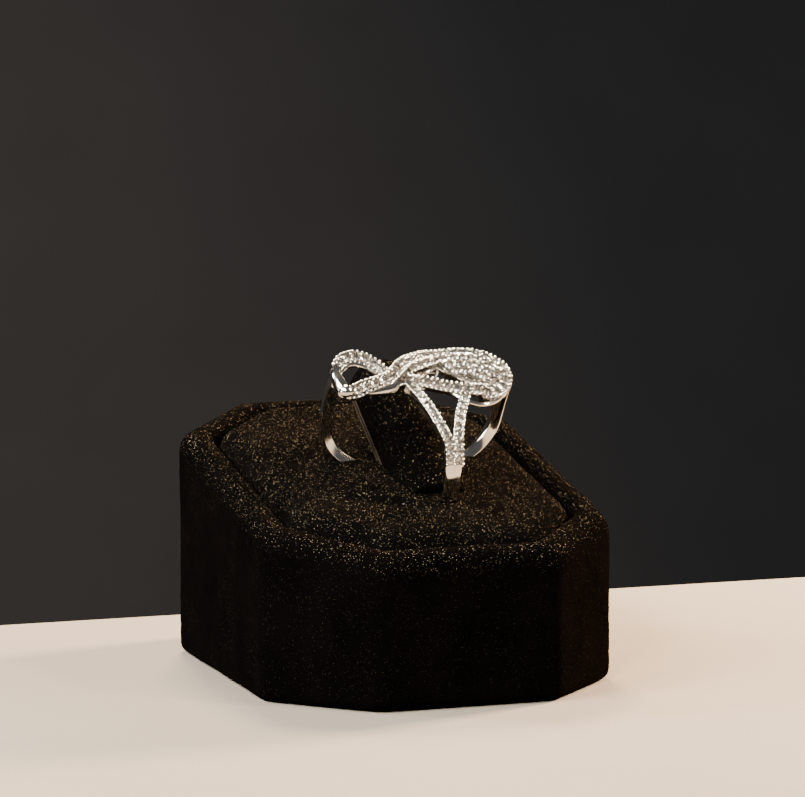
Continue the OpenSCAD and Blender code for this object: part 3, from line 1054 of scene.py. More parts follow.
@dataclass
class HeadStrands:
    """The head's ribbons, in head coordinates.

    A row: along the finger, up the slope, height, width, thickness, and the face's lean along those two.
    """

    at: RingFrame
    edge: float = 0.14
    floor: float = 0.5
    steps: int = 6
    # The radius of the corners and the height of the dome, on the leaf and on the lip.
    leaf_round: tuple[float, float] = (0.5, 0.42)
    lip_round: tuple[float, float] = (0.2, 0.12)
    loop_end: tuple[Row, ...] = (
        (-12.1, -3.25, -0.75, 1.3, 1.1, -0.35, -0.9),
        (-12.9, -2.75, -0.45, 1.8, 1.7, -0.7, -0.6),
        (-13.35, -1.7, -0.25, 1.9, 2.0, -0.75, -0.3),
        (-13.45, -0.5, -0.1, 1.8, 2.0, -0.6, -0.15),
        (-13.3, 0.6, 0, 1.6, 1.9, -0.35, -0.15),
        (-12.95, 1.5, -0.02, 1.42, 1.5, -0.15, -0.3),
    )
    under_strand: tuple[Row, ...] = (
        (-13.05, 1.3, 0.03, 1.5, 1.65, -0.15, -0.25),
        (-12.2, 2.4, 0.15, 1.6, 1.5, -0.05, -0.4),
        (-11.2, 2.9, 0.25, 1.6, 1.4, 0, -0.45),
        (-10.1, 3.0, 0.25, 1.6, 1.4, 0, -0.45),
        (-9.0, 2.6, 0.15, 1.6, 1.4, 0, -0.45),
        (-7.9, 1.8, 0, 1.55, 1.4, 0, -0.4),
        (-6.8, 0.7, -0.35, 1.5, 1.3, 0, -0.3),
        (-5.6, -0.3, -0.65, 1.4, 1.1, 0, -0.3),
        (-4.4, -1.0, -0.35, 1.4, 1.2, 0, -0.4),
        (-3.1, -1.45, 0, 1.45, 1.3, 0, -0.5),
        (-1.6, -1.95, 0, 1.45, 1.3, 0, -0.5),
        (0, -2.55, 0, 1.45, 1.3, 0, -0.5),
        (1.8, -3.05, 0, 1.45, 1.3, 0, -0.5),
        (3.7, -3.32, -0.06, 1.45, 1.3, 0, -0.5),
        (5.3, -3.4, -0.2, 1.45, 1.25, 0, -0.45),
        (5.9, -3.38, -0.8, 1.35, 1.0, 0, -0.45),
    )
    over_strand: tuple[Row, ...] = (
        (-12.3, -2.9, -0.35, 1.5, 1.4, 0, -0.55),
        (-11.2, -2.6, -0.15, 1.9, 1.4, 0, -0.5),
        (-9.8, -2.1, 0.1, 1.8, 1.45, 0, -0.45),
        (-8.3, -1.75, 0.35, 1.65, 1.85, 0, -0.45),
        (-6.9, -1.25, 0.6, 1.65, 2.3, 0, -0.4),
        (-5.7, -0.25, 0.6, 1.7, 2.1, 0, -0.3),
        (-4.6, 1.0, 0.45, 1.75, 1.65, 0, -0.25),
        (-3.1, 2.1, 0.25, 1.5, 1.4, 0, -0.2),
        (-1.2, 2.9, 0.05, 1.4, 1.4, 0, -0.1),
        (0.9, 3.17, -0.13, 1.36, 1.4, 0, 0),
    )
    inner_strand: tuple[Row, ...] = (
        (-4.5, -0.16, 0.28, 1.15, 1.3, 0, -0.35),
        (-3.3, 0.55, 0.25, 1.25, 1.3, 0, -0.35),
        (-2.0, 1.25, 0.15, 1.25, 1.3, 0, -0.35),
        (-0.8, 1.7, 0.1, 1.15, 1.3, 0, -0.3),
        (0.6, 2.05, 0.02, 1.1, 1.25, 0, -0.2),
    )
    loop_lip: tuple[Row, ...] = (
        (-12.75, -1.0, -0.35, 0.5, 0.5, -0.2, -0.7),
        (-12.68, 0.2, -0.25, 0.7, 0.6, 0.3, -0.85),
        (-12.2, 1.1, -0.2, 0.8, 0.6, 0.2, -1.1),
        (-11.4, 1.7, -0.15, 0.8, 0.6, 0, -1.3),
        (-10.4, 1.85, -0.15, 0.75, 0.6, -0.1, -1.3),
        (-9.3, 1.5, -0.2, 0.65, 0.6, -0.2, -1.2),
        (-8.3, 0.7, -0.35, 0.5, 0.5, -0.2, -1.0),
        (-7.6, 0.1, -0.6, 0.4, 0.4, -0.2, -0.8),
    )
    # The collar hangs, so a row's width is its drop, and its face looks at the viewer.
    collar: tuple[Row, ...] = (
        (-9.7, -2.75, -0.45, 0.35, 0.3),
        (-8.8, -2.55, -0.3, 0.7, 0.35),
        (-7.9, -2.25, -0.15, 1.0, 0.4),
        (-7.0, -1.95, -0.05, 1.3, 0.4),
        (-6.2, -1.6, 0.0, 1.35, 0.4),
        (-5.5, -1.15, 0.0, 0.9, 0.35),
    )
    collar_face: tuple[float, float, float] = (0, -1, 0.1)
    tip: tuple[float, float, float] = (-12.62, -2.5, -0.42)
    tip_size: tuple[float, float, float] = (0.98, 0.82, 0.62)
    tip_lean: tuple[float, float] = (-0.35, -0.75)
    tip_way: tuple[float, float, float] = (1, -0.35, 0)
    tip_taper: float = 0.22
    tip_under: float = 0.7

    def stations(self, table: Sequence[Row]) -> list[Station]:
        """The places along a head table."""
        return [Station(self.at.head_point(*r[:3]), self.at.head_dir(r[5], r[6]), r[3], r[4])
                for r in smooth(table, self.steps)]

    def paved(self) -> dict[str, list[Station]]:
        """The three paved strands' stations, by name."""
        tables = {"under_strand": self.under_strand, "over_strand": self.over_strand,
                  "inner_strand": self.inner_strand}
        return {name: self.stations(table) for name, table in tables.items()}

    def polished(self, name: str, table: Sequence[Row], rounding: tuple[float, float]) -> Piece:
        """A polished ribbon with a domed face."""
        sections = sections_of(self.stations(table), bar_profile(*rounding), self.at.matrix())
        return loft(name, sections)

    def hanging_collar(self) -> Piece:
        """The polished collar that hangs from the crossing's near edge.

        Returns:
            The piece.
        """
        face = Vector(self.collar_face).normalized()
        stations = [Station(self.at.head_point(*r[:3]), face, r[3], r[4])
                    for r in smooth(self.collar, self.steps)]

        def outline(drop: float, thick: float) -> Outline:
            """A plate that bellies a little towards its lower edge."""
            front = [(0, 0, 0.1), (drop * 0.6, 0.12, 0.2), (drop, -0.02, 0.12)]
            return rounded([*front, (drop, -thick, 0.1), (0, -thick, 0.1)])

        return loft("crossing_collar", sections_of(stations, outline, self.at.matrix()))

    def leaf_tip(self) -> Piece:
        """The leaf's lower end: a polished swelling where the ribbon turns back under the paved strand.

        Returns:
            The piece.
        """
        leave_edit()
        bpy.ops.mesh.primitive_uv_sphere_add(segments=28, ring_count=14, radius=1)
        obj = bpy.context.object
        obj.name = "leaf_tip"
        for vert in obj.data.vertices:
            taper = 1 - self.tip_taper * max(vert.co.x, 0)
            vert.co.y *= taper
            vert.co.z *= taper * (self.tip_under if vert.co.z < 0 else 1)
        up, way = self.at.head_dir(*self.tip_lean), Vector(self.tip_way)
        side = (way - up * up.dot(way)).normalized()
        turn = Matrix((side, up.cross(side), up)).transposed().to_4x4()
        place = self.at.matrix() @ Matrix.Translation(self.at.head_point(*self.tip)) @ turn
        obj.data.transform(place @ Matrix.Diagonal((*self.tip_size, 1)))
        return obj

    def build(self, material: Material) -> list[Piece]:
        """Builds the polished loop end, the paved ribbons and the head's polished trim.

        Args:
            material: the metal.

        Returns:
            The pieces.
        """
        made = [self.polished("loop_end", self.loop_end, self.leaf_round)]
        channel = channel_profile(self.edge, self.floor)
        for name, stations in self.paved().items():
            made.append(loft(name, sections_of(stations, channel, self.at.matrix())))
        made.append(self.polished("loop_inner_lip", self.loop_lip, self.lip_round))
        made += [self.hanging_collar(), self.leaf_tip()]
        for obj in made:
            smooth_shade(obj, STRAND_CREASE)
            finish_piece(obj, material, ["ring_metal"])
        return made


@dataclass
class Crest:
    """The large loop's broad, domed crest: a plate with a rim round it. Outlines in head coordinates."""

    at: RingFrame
    outer: tuple[Row, ...] = (
        (0.5, 3.85), (3.0, 3.95), (5.7, 3.55), (8.0, 2.45), (9.5, 0.8),
        (9.85, -0.8), (9.4, -2.5), (8.2, -3.75), (6.5, -4.28), (5.1, -4.2),
    )
    inner: tuple[Row, ...] = (
        (5.1, -2.75), (5.65, -2.6), (5.1, -2.3), (4.0, -1.85), (2.6, -1.15),
        (1.6, -0.35), (1.0, 0.5), (0.65, 1.6), (0.52, 2.4), (0.48, 3.2),
    )
    middle: tuple[float, float] = (5, 1.1)
    bend: tuple[float, float] = (26, 13)
    top: float = 0.35
    thickness: float = 1.46
    floor: float = 0.5
    rim: float = 0.2
    round_over: float = 0.06
    grid: float = 0.5
    grid_ends: tuple[tuple[float, float], tuple[float, float]] = ((0.0, 10.0), (-4.5, 4.5))
    outer_steps: int = 6
    inner_steps: int = 5

    def lean(self, x: float, y: float) -> tuple[float, float]:
        """How steeply the dome falls along each direction."""
        return (x - self.middle[0]) / self.bend[0], (y - self.middle[1]) / self.bend[1]

    def height(self, x: float, y: float) -> float:
        """The dome's height over the head's plane."""
        along, up = self.lean(x, y)
        return self.top - along * (x - self.middle[0]) / 2 - up * (y - self.middle[1]) / 2

    def lift(self, x: float, y: float, drop: float) -> Vector:
        """A point of the crest, drop under its dome, in the row frame."""
        return self.at.matrix() @ self.at.head_point(x, y, self.height(x, y) - drop)

    def outline(self) -> list[Vector]:
        """The outline, smooth along each of its two edges."""
        rows = smooth(self.outer, self.outer_steps) + smooth(self.inner, self.inner_steps)
        return [Vector(row) for row in rows]

    def rim_line(self, inset: float) -> FacedLine:
        """The middle of the rim's outer part.

        Args:
            inset: how far it lies inside the outline.

        Returns:
            Its points in ring millimetres, with the face's directions.
        """
        line = [Vector(row) for row in smooth(self.outer, self.outer_steps)]
        last = len(line) - 1
        out = []
        for i, point in enumerate(line):
            ahead = (line[min(i + 1, last)] - line[max(i - 1, 0)]).normalized()
            x, y = point.x + ahead.y * inset, point.y - ahead.x * inset
            out.append((self.at.head_point(x, y, self.height(x, y)), self.at.head_dir(*self.lean(x, y))))
        return out

    def plate(self) -> Piece:
        """The plate under the stones: the outline filled, cut by a grid and laid on the dome.

        Returns:
            The piece.
        """
        leave_edit()
        line = self.outline()
        bpy.ops.mesh.primitive_circle_add(vertices=len(line), radius=1, fill_type="NGON")
        obj = bpy.context.object
        obj.name = "crest_plate"
        bpy.ops.object.mode_set(mode="EDIT")
        mesh = bmesh.from_edit_mesh(obj.data)
        mesh.verts.ensure_lookup_table()
        for vert, point in zip(mesh.verts, line):
            vert.co = (point.x, point.y, 0)
        bmesh.update_edit_mesh(obj.data)
        for normal, (low, high) in zip(((1, 0, 0), (0, 1, 0)), self.grid_ends):
            for k in range(1, int((high - low) / self.grid)):
                bpy.ops.mesh.select_all(action="SELECT")
                bpy.ops.mesh.bisect(plane_co=Vector(normal) * (low + k * self.grid), plane_no=normal)
        leave_edit()
        for vert in obj.data.vertices:
            vert.co = self.lift(vert.co.x, vert.co.y, self.floor)
        face_outwards(obj)
        up = self.at.matrix().to_3x3() @ self.at.head_dir(0, 0)
        if sum((face.normal for face in obj.data.polygons), Vector()).dot(up) < 0:
            obj.data.flip_normals()
        apply_modifier(obj, "SOLIDIFY", thickness=(self.thickness - self.floor) * MM, offset=-1.0)
        return obj

    def rim_loop(self) -> Piece:
        """The rim, swept round the outline with softened upper corners.

        Returns:
            The piece.
        """
        line = self.outline()
        # Inward from the outline, and down from the dome.
        section = [
            (0.0, 0.07), (self.round_over, 0.0), (self.rim - 0.05, 0.0), (self.rim, self.round_over),
            (self.rim, self.floor + 0.05), (0.0, self.floor + 0.3),
        ]
        sections = []
        for i, point in enumerate(line):
            ahead = (line[(i + 1) % len(line)] - line[i - 1]).normalized()
            sections.append([self.lift(point.x + ahead.y * a, point.y - ahead.x * a, drop)
                             for a, drop in section])
        return loft("crest_rim", sections, closed=True)

    def build(self, material: Material) -> list[Piece]:
        """Builds the plate and the rim.

        Args:
            material: the metal.

        Returns:
            The pieces.
        """
        made = [self.plate(), self.rim_loop()]
        for obj in made:
            smooth_shade(obj, STRAND_CREASE)
            finish_piece(obj, material, ["ring_metal"])
        return made


@dataclass
class Shank:
    """The band, the near V and the far bow. Millimetres and degrees.

    A row: along the finger, angle from the top, and what is added to the radius and to the thickness.
    """

    at: RingFrame
    radius: float = 9.8
    thickness: float = 1.5
    stem_w: float = 2.3
    band_w: float = 2.2
    arm_w: float = 1.27
    bow_w: float = 1.47
    step: float = 0.25
    edge: float = 0.14
    floor: float = 0.5
    steps: int = 5
    # The radius of the corners and the height of the dome.
    stem_round: tuple[float, float] = (0.2, 0.05)
    band_round: tuple[float, float] = (0.34, 0.14)
    bow_round: tuple[float, float] = (0.34, 0.1)
    slot_corner: float = 0.3
    left_arm: tuple[Row, ...] = (
        (-0.5, -83.6, 0, -0.06), (-0.6, -67, 0, -0.06), (-1.05, -59, 0, 0), (-1.75, -48, 0, 0),
        (-2.6, -34.5, 0.05, 0), (-3.45, -20, 0.15, -0.2), (-4.0, -12, 0.3, -0.3),
    )
    right_arm: tuple[Row, ...] = (
        (0.5, -83.8, 0.03, -0.13), (0.6, -67, 0.03, -0.13), (0.75, -57, 0.03, -0.1),
        (1.45, -43, 0, 0), (2.35, -31.5, 0.1, -0.2), (2.8, -26, 0.25, -0.3),
    )
    stem: tuple[Row, ...] = ((0, -84.2, 0.06, 0.09), (0, -83.4, 0.06, 0.09), (0, -82.6, 0.06, 0.09))
    band_ends: tuple[int, int] = (-230, -80)
    left_bow: tuple[Row, ...] = (
        (-13.0, -2, 0.7, -0.2), (-12.4, 15, 0.35, 0), (-11.7, 36, 0, 0), (-11.35, 58, 0, 0),
        (-11.3, 78, 0, 0), (-10.95, 92, 0, 0), (-10.05, 103.5, 0, 0), (-8.5, 112.5, 0, 0),
        (-6.4, 119.5, 0, 0), (-4.0, 125, 0, 0), (-1.7, 130, -0.05, 0), (-0.45, 137, -0.12, -0.2),
        (-0.3, 146, -0.35, -0.5),
    )
    right_bow: tuple[Row, ...] = (
        (9.2, -4, 0.6, -0.3), (10.6, 12, 0.35, 0), (11.8, 34, 0, 0), (12.2, 56, 0, 0),
        (12.15, 76, 0, 0), (11.7, 90, 0, 0), (10.6, 101, 0, 0), (9.0, 110, 0, 0),
        (6.9, 117.5, 0, 0), (4.4, 124, 0, 0), (1.9, 130, -0.05, 0), (0.4, 137, -0.17, -0.3),
        (0.25, 147, -0.41, -0.6),
    )

    def strands(self) -> dict[str, tuple[float, Sequence[Row]]]:
        """Lists the strands.

        Returns:
            Each strand's width and rows, by name.
        """
        first, last = self.band_ends
        band = [(0, angle, -self.step, -self.step) for angle in range(first, last + 1, 10)]
        return {
            "left_arm": (self.arm_w, self.left_arm),
            "right_arm": (self.arm_w, self.right_arm),
            "stem": (self.stem_w, self.stem),
            "band": (self.band_w, band),
            "left_bow": (self.bow_w, self.left_bow),
            "right_bow": (self.bow_w, self.right_bow),
        }

    def stations(self, name: str) -> list[Station]:
        """The places along a strand.

        Args:
            name: the strand.

        Returns:
            Its stations, in ring millimetres.
        """
        width, rows = self.strands()[name]
        out = []
        for across, angle, outward, more in smooth(rows, self.steps):
            point = self.at.round_point(across, angle, self.radius + outward)
            out.append(Station(point, self.at.round_point(0, angle, 1), width, self.thickness + more))
        return out

    def build(self, material: Material) -> list[Piece]:
        """Builds the six strands: the two near arms are paved, the others polished.

        Args:
            material: the metal.

        Returns:
            The pieces.
        """
        channel, bow = channel_profile(self.edge, self.floor), bar_profile(*self.bow_round)
        profiles = {
            "left_arm": channel, "right_arm": channel, "stem": bar_profile(*self.stem_round),
            "band": bar_profile(*self.band_round), "left_bow": bow, "right_bow": bow,
        }
        made = []
        for name, profile in profiles.items():
            obj = loft(name, sections_of(self.stations(name), profile, self.at.matrix()))
            smooth_shade(obj, STRAND_CREASE)
            made.append(finish_piece(obj, material, ["ring_metal"]))
        return made

    def cutter(self, name: str) -> Piece:
        """Makes the solid that cuts a strand's slot in the cushion.

        Args:
            name: the strand.

        Returns:
            The solid.
        """
        sections = sections_of(self.stations(name), bar_profile(self.slot_corner), self.at.matrix())
        return loft(name + "_slot", sections)


@dataclass
class Gallery:
    """The round wires, posts and bars under the head. Millimetres and degrees.

    A rail's row: along the finger, angle from the top, radius. A bar's row: a point of the head.
    A post: along the finger, the angle of its foot, and how far up the slope its top is.
    """

    at: RingFrame
    wire: float = 0.33
    bar: float = 0.22
    foot_radius: float = 10
    post_top: float = -0.9
    post_parts: int = 4
    rail_steps: int = 6
    bar_steps: int = 4
    face: tuple[float, float, float] = (0.13, 0.21, 1)
    front: tuple[Row, ...] = (
        (-3.7, -18, 9.5), (-1.6, -13, 9.5), (0.6, -17, 9.4), (2.6, -28, 9.2),
        (4.8, -34, 9.1), (7.2, -28, 8.95), (8.9, -15, 9.1), (9.9, 2, 9.8),
    )
    back: tuple[Row, ...] = (
        (-6.6, 4, 9.85), (-3.5, 10, 10.0), (0, 14, 10.1), (4, 15, 10.1), (7.6, 11, 10.0), (10.2, 6, 9.9),
    )
    posts: tuple[Row, ...] = ((-2.2, 12, 2.4), (2.2, 15, 3.1), (6.4, 13, 2.6))
    bars: tuple[tuple[Row, ...], ...] = (
        ((1.0, 1.7, -0.9), (0.1, 0.2, -1.1), (-1.5, -1.7, -1.0)),
        ((1.0, 1.7, -0.9), (-0.9, 0.95, -1.15), (-3.1, -0.7, -1.1)),
    )

    def wire_along(self, name: str, points: list[Vector], radius: float) -> Piece:
        """Draws a round wire.

        Args:
            name: the wire's name.
            points: its course, in ring millimetres.
            radius: its radius.

        Returns:
            The wire.
        """
        face = Vector(self.face).normalized()
        stations = [Station(point, face) for point in points]
        return loft(name, sections_of(stations, wire_profile(radius), self.at.matrix()))

    def build(self, material: Material) -> Piece:
        """Builds the wires, posts and bars as one soldered piece.

        Args:
            material: the metal.

        Returns:
            The piece.
        """
        parts = []
        for name, table in (("front_rail", self.front), ("back_rail", self.back)):
            course = [self.at.round_point(*row) for row in smooth(table, self.rail_steps)]
            parts.append(self.wire_along(name, course, self.wire))
        for across, angle, up in self.posts:
            foot = self.at.round_point(across, angle, self.foot_radius)
            top = self.at.head_point(across, up, self.post_top)
            course = [foot.lerp(top, k / self.post_parts) for k in range(self.post_parts + 1)]
            parts.append(self.wire_along("post", course, self.wire))
        for table in self.bars:
            course = [self.at.head_point(*row) for row in smooth(table, self.bar_steps)]
            parts.append(self.wire_along("bar", course, self.bar))
        obj = join("gallery_wires", parts)
        smooth_shade(obj, ROUND_CREASE)
        return finish_piece(obj, material, ["ring_metal"])


# Velvet surfaces


def soften(obj: Piece, voxel: float, passes: int) -> None:
    """Remeshes a velvet piece evenly and softens its edges.

    Args:
        obj: the piece.
        voxel: the size of the even mesh, in millimetres.
        passes: how often the edges are smoothed.
    """
    apply_modifier(obj, "REMESH", mode="VOXEL", voxel_size=voxel * MM, adaptivity=0.0)
    apply_modifier(obj, "SMOOTH", factor=0.5, iterations=passes)


def shade_all_smooth(obj: Piece) -> None:
    """Shades a piece smooth, without creases."""
    pick_object(obj)
    bpy.ops.object.shade_smooth()


@dataclass(frozen=True)
class Nap:
    """A velvet surface's relief: the pile's tufts and the slow waves of the cloth. Millimetres."""

    fine: float
    coarse: float
    seed: int
    tuft_step: float = 0.9
    wave_step: float = 7.0
    shift: tuple[float, float, float] = (3.1, 1.7, 2.3)

    def roughen(self, obj: Piece) -> None:
        """Moves each point along its normal, by noise that differs from seed to seed.

        Args:
            obj: the velvet piece.
        """
        obj.data.update()
        normals = [vert.normal.copy() for vert in obj.data.vertices]
        shift = Vector(self.shift) * self.seed
        for vert, normal in zip(obj.data.vertices, normals):
            point = vert.co / MM
            tuft = noise.noise(point / self.tuft_step + shift)
            wave = noise.noise(point / self.wave_step + shift)
            vert.co += normal * (tuft * self.fine + wave * self.coarse - self.fine) * MM


@dataclass(frozen=True)
class Fold:
    """A soft fold that stands up along a line over the plan, with a crease on its near side. Millimetres."""

    line: tuple[Row, ...] = (
        (-11.2, -10.6), (-9.7, -11.1), (-7.4, -12.3), (-4.5, -14.0), (-1.6, -15.6), (0.8, -17.2),
    )
    rise: float = 0.7
    width: float = 0.6
    crease: float = 0.4
    crease_off: float = 1.9
    reach: float = 4
    end_fade: float = 1.2
    level: float = 0.5
    steps: int = 8

    def press(self, obj: Piece) -> None:
        """Lifts the fold and sinks the crease, on the faces that look up.

        Args:
            obj: the velvet piece.
        """
        obj.data.update()
        course = [Vector(row) for row in smooth(self.line, self.steps)]
        last = len(course) - 1
        margin = Vector((self.reach * self.width, self.reach * self.width))
        low, high = Vector(map(min, zip(*course))) - margin, Vector(map(max, zip(*course))) + margin
        for vert in obj.data.vertices:
            spot = vert.co.xy / MM
            near = low.x < spot.x < high.x and low.y < spot.y < high.y
            if vert.normal.z < self.level or not near:
                continue
            i = min(range(last + 1), key=lambda k: (course[k] - spot).length)
            ahead = (course[min(i + 1, last)] - course[max(i - 1, 0)]).normalized()
            off = spot - course[i]
            across = off.dot(Vector((-ahead.y, ahead.x))) / self.width
            ends = min(1.0, 4 * i / last, 4 * (last - i) / last)
            fade = math.exp(-(off.dot(ahead) / self.end_fade) ** 2) * ends
            ridge = math.exp(-across ** 2) * self.rise
            dip = math.exp(-(across + self.crease_off) ** 2) * self.crease
            vert.co.z += (ridge - dip) * fade * MM


# The stand


@dataclass
class Stand:
    """The eight-sided velvet stand: case and cushion. Millimetres and degrees."""

    width: float = 47
    depth: float = 60
    cut: float = 11.6
    front_h: float = 19.3
    slope: float = 12
    rim: float = 4.4
    roll: float = 2.4
    foot_round: float = 0.8
    # The rim's inner edge: how far each ring is out from the well, and its height over the rim.
    rim_edge: tuple[Row, ...] = ((1.35, 0.0), (0.85, -0.08), (0.45, -0.4), (0.15, -0.95), (0.0, -1.6))
    well: float = 9
    gap: float = 0.3
    crown: float = 1.1
    middle_rise: float = 0.5
    middle_rings: tuple[float, ...] = (0.92, 0.75, 0.55, 0.3, 0.08)
    under: float = 0.1
    cushion_roll: float = 3.6
    corner: float = 3.2
    voxel: float = 0.5

    def plan(self, inset: float) -> Outline:
        """The eight-sided plan, drawn on the slope, with round corners.

        Args:
            inset: how far it is drawn in from the case's side.

        Returns:
            Its points, all round.
        """
        steep = math.cos(math.radians(self.slope))
        w, d = self.width / 2, self.depth / 2 / steep
        quarter = [(w, d - self.cut / steep), (w - self.cut, d)]
        back = quarter + [(-x, y) for x, y in reversed(quarter)]
        ring = [Vector(point) for point in back + [(-x, -y) for x, y in back]]
        round_off = self.corner * math.tan(math.pi / 8)
        inner = []
        for i, here in enumerate(ring):
            a, b = (here - ring[i - 1]).normalized(), (ring[(i + 1) % 8] - here).normalized()
            n1, n2 = Vector((a.y, -a.x)), Vector((b.y, -b.x))
            moved = here - (n1 + n2) / (1 + n1.dot(n2)) * inset
            inner.append((moved.x, moved.y, round_off))
        return [(x, y * steep) for x, y in rounded(inner)]

    def layer(self, inset: float, height: float, level: float | None = None,
              shrink: float = 1.0) -> list[Vector]:
        """A ring of points on the plan.

        Args:
            inset: how far it is drawn in from the case's side.
            height: its height over the sloping top.
            level: its height over the table, in place of height.
            shrink: how far it is drawn together towards the middle.

        Returns:
            The points, in metres.
        """
        rise, run = math.tan(math.radians(self.slope)), math.cos(math.radians(self.slope))
        middle = self.front_h + self.depth / 2 * rise
        out = []
        for x, y in self.plan(inset):
            z = middle + y * shrink * rise + height / run if level is None else level
            out.append(Vector((x * shrink, y * shrink, z)) * MM)
        return out

    def rolled(self, inset: float, top: float, roll: float, step: int) -> list[list[Vector]]:
        """The rings of a rolled edge, from upright to level.

        Args:
            inset: where the roll starts, in from the case's side.
            top: its height over the sloping top, where it ends.
            roll: its radius.
            step: the degrees from ring to ring.

        Returns:
            The rings.
        """
        turns = [math.radians(degrees) for degrees in range(step, 91, step)]
        return [self.layer(inset + roll * (1 - math.cos(a)), top - roll * (1 - math.sin(a))) for a in turns]

    def case(self, material: Material) -> Piece:
        """The padded case: straight walls, a rolled rim, and the well that the cushion sits in.

        Args:
            material: its velvet.

        Returns:
            The piece.
        """
        rings = [self.layer(self.foot_round, 0, 0.0), self.layer(0.0, 0, self.foot_round)]
        rings += [self.layer(0.0, -self.roll), *self.rolled(0.0, 0.0, self.roll, step=15)]
        rings += [self.layer(self.rim - out, height) for out, height in (*self.rim_edge, (0.0, -self.well))]
        obj = loft("stand_case_velvet", rings)
        soften(obj, self.voxel, passes=3)
        Nap(fine=0.07, coarse=0.1, seed=1).roughen(obj)
        for vert in obj.data.vertices:
            vert.co.z = max(vert.co.z, 0.0)
        shade_all_smooth(obj)
        return finish_piece(obj, material, ["stand_case"])

    def cushion(self, material: Material, cutters: list[Piece]) -> Piece:
        """The cushion: a crowned pad with rolled edges, cut where the ring and the tongue go in.

        Args:
            material: its velvet.
            cutters: solids of what goes into it, which are used up.

        Returns:
            The piece.
        """
        inset, roll = self.rim + self.gap, self.cushion_roll
        rings = [self.layer(inset, self.under - self.well), self.layer(inset, self.crown - roll)]
        rings += self.rolled(inset, self.crown, roll, step=10)
        for shrink in self.middle_rings:
            height = self.crown + self.middle_rise * (1 - shrink ** 2)
            rings.append(self.layer(inset + roll, height, shrink=shrink))
        obj = loft("cushion_pad", rings)
        soften(obj, self.voxel, passes=6)
        for cutter in cutters:
            apply_modifier(obj, "BOOLEAN", operation="DIFFERENCE", object=cutter, solver="EXACT")
            bpy.data.objects.remove(cutter)
        Nap(fine=0.06, coarse=0.12, seed=2).roughen(obj)
        Fold().press(obj)
        shade_all_smooth(obj)
        return finish_piece(obj, material, ["stand_cushion"])


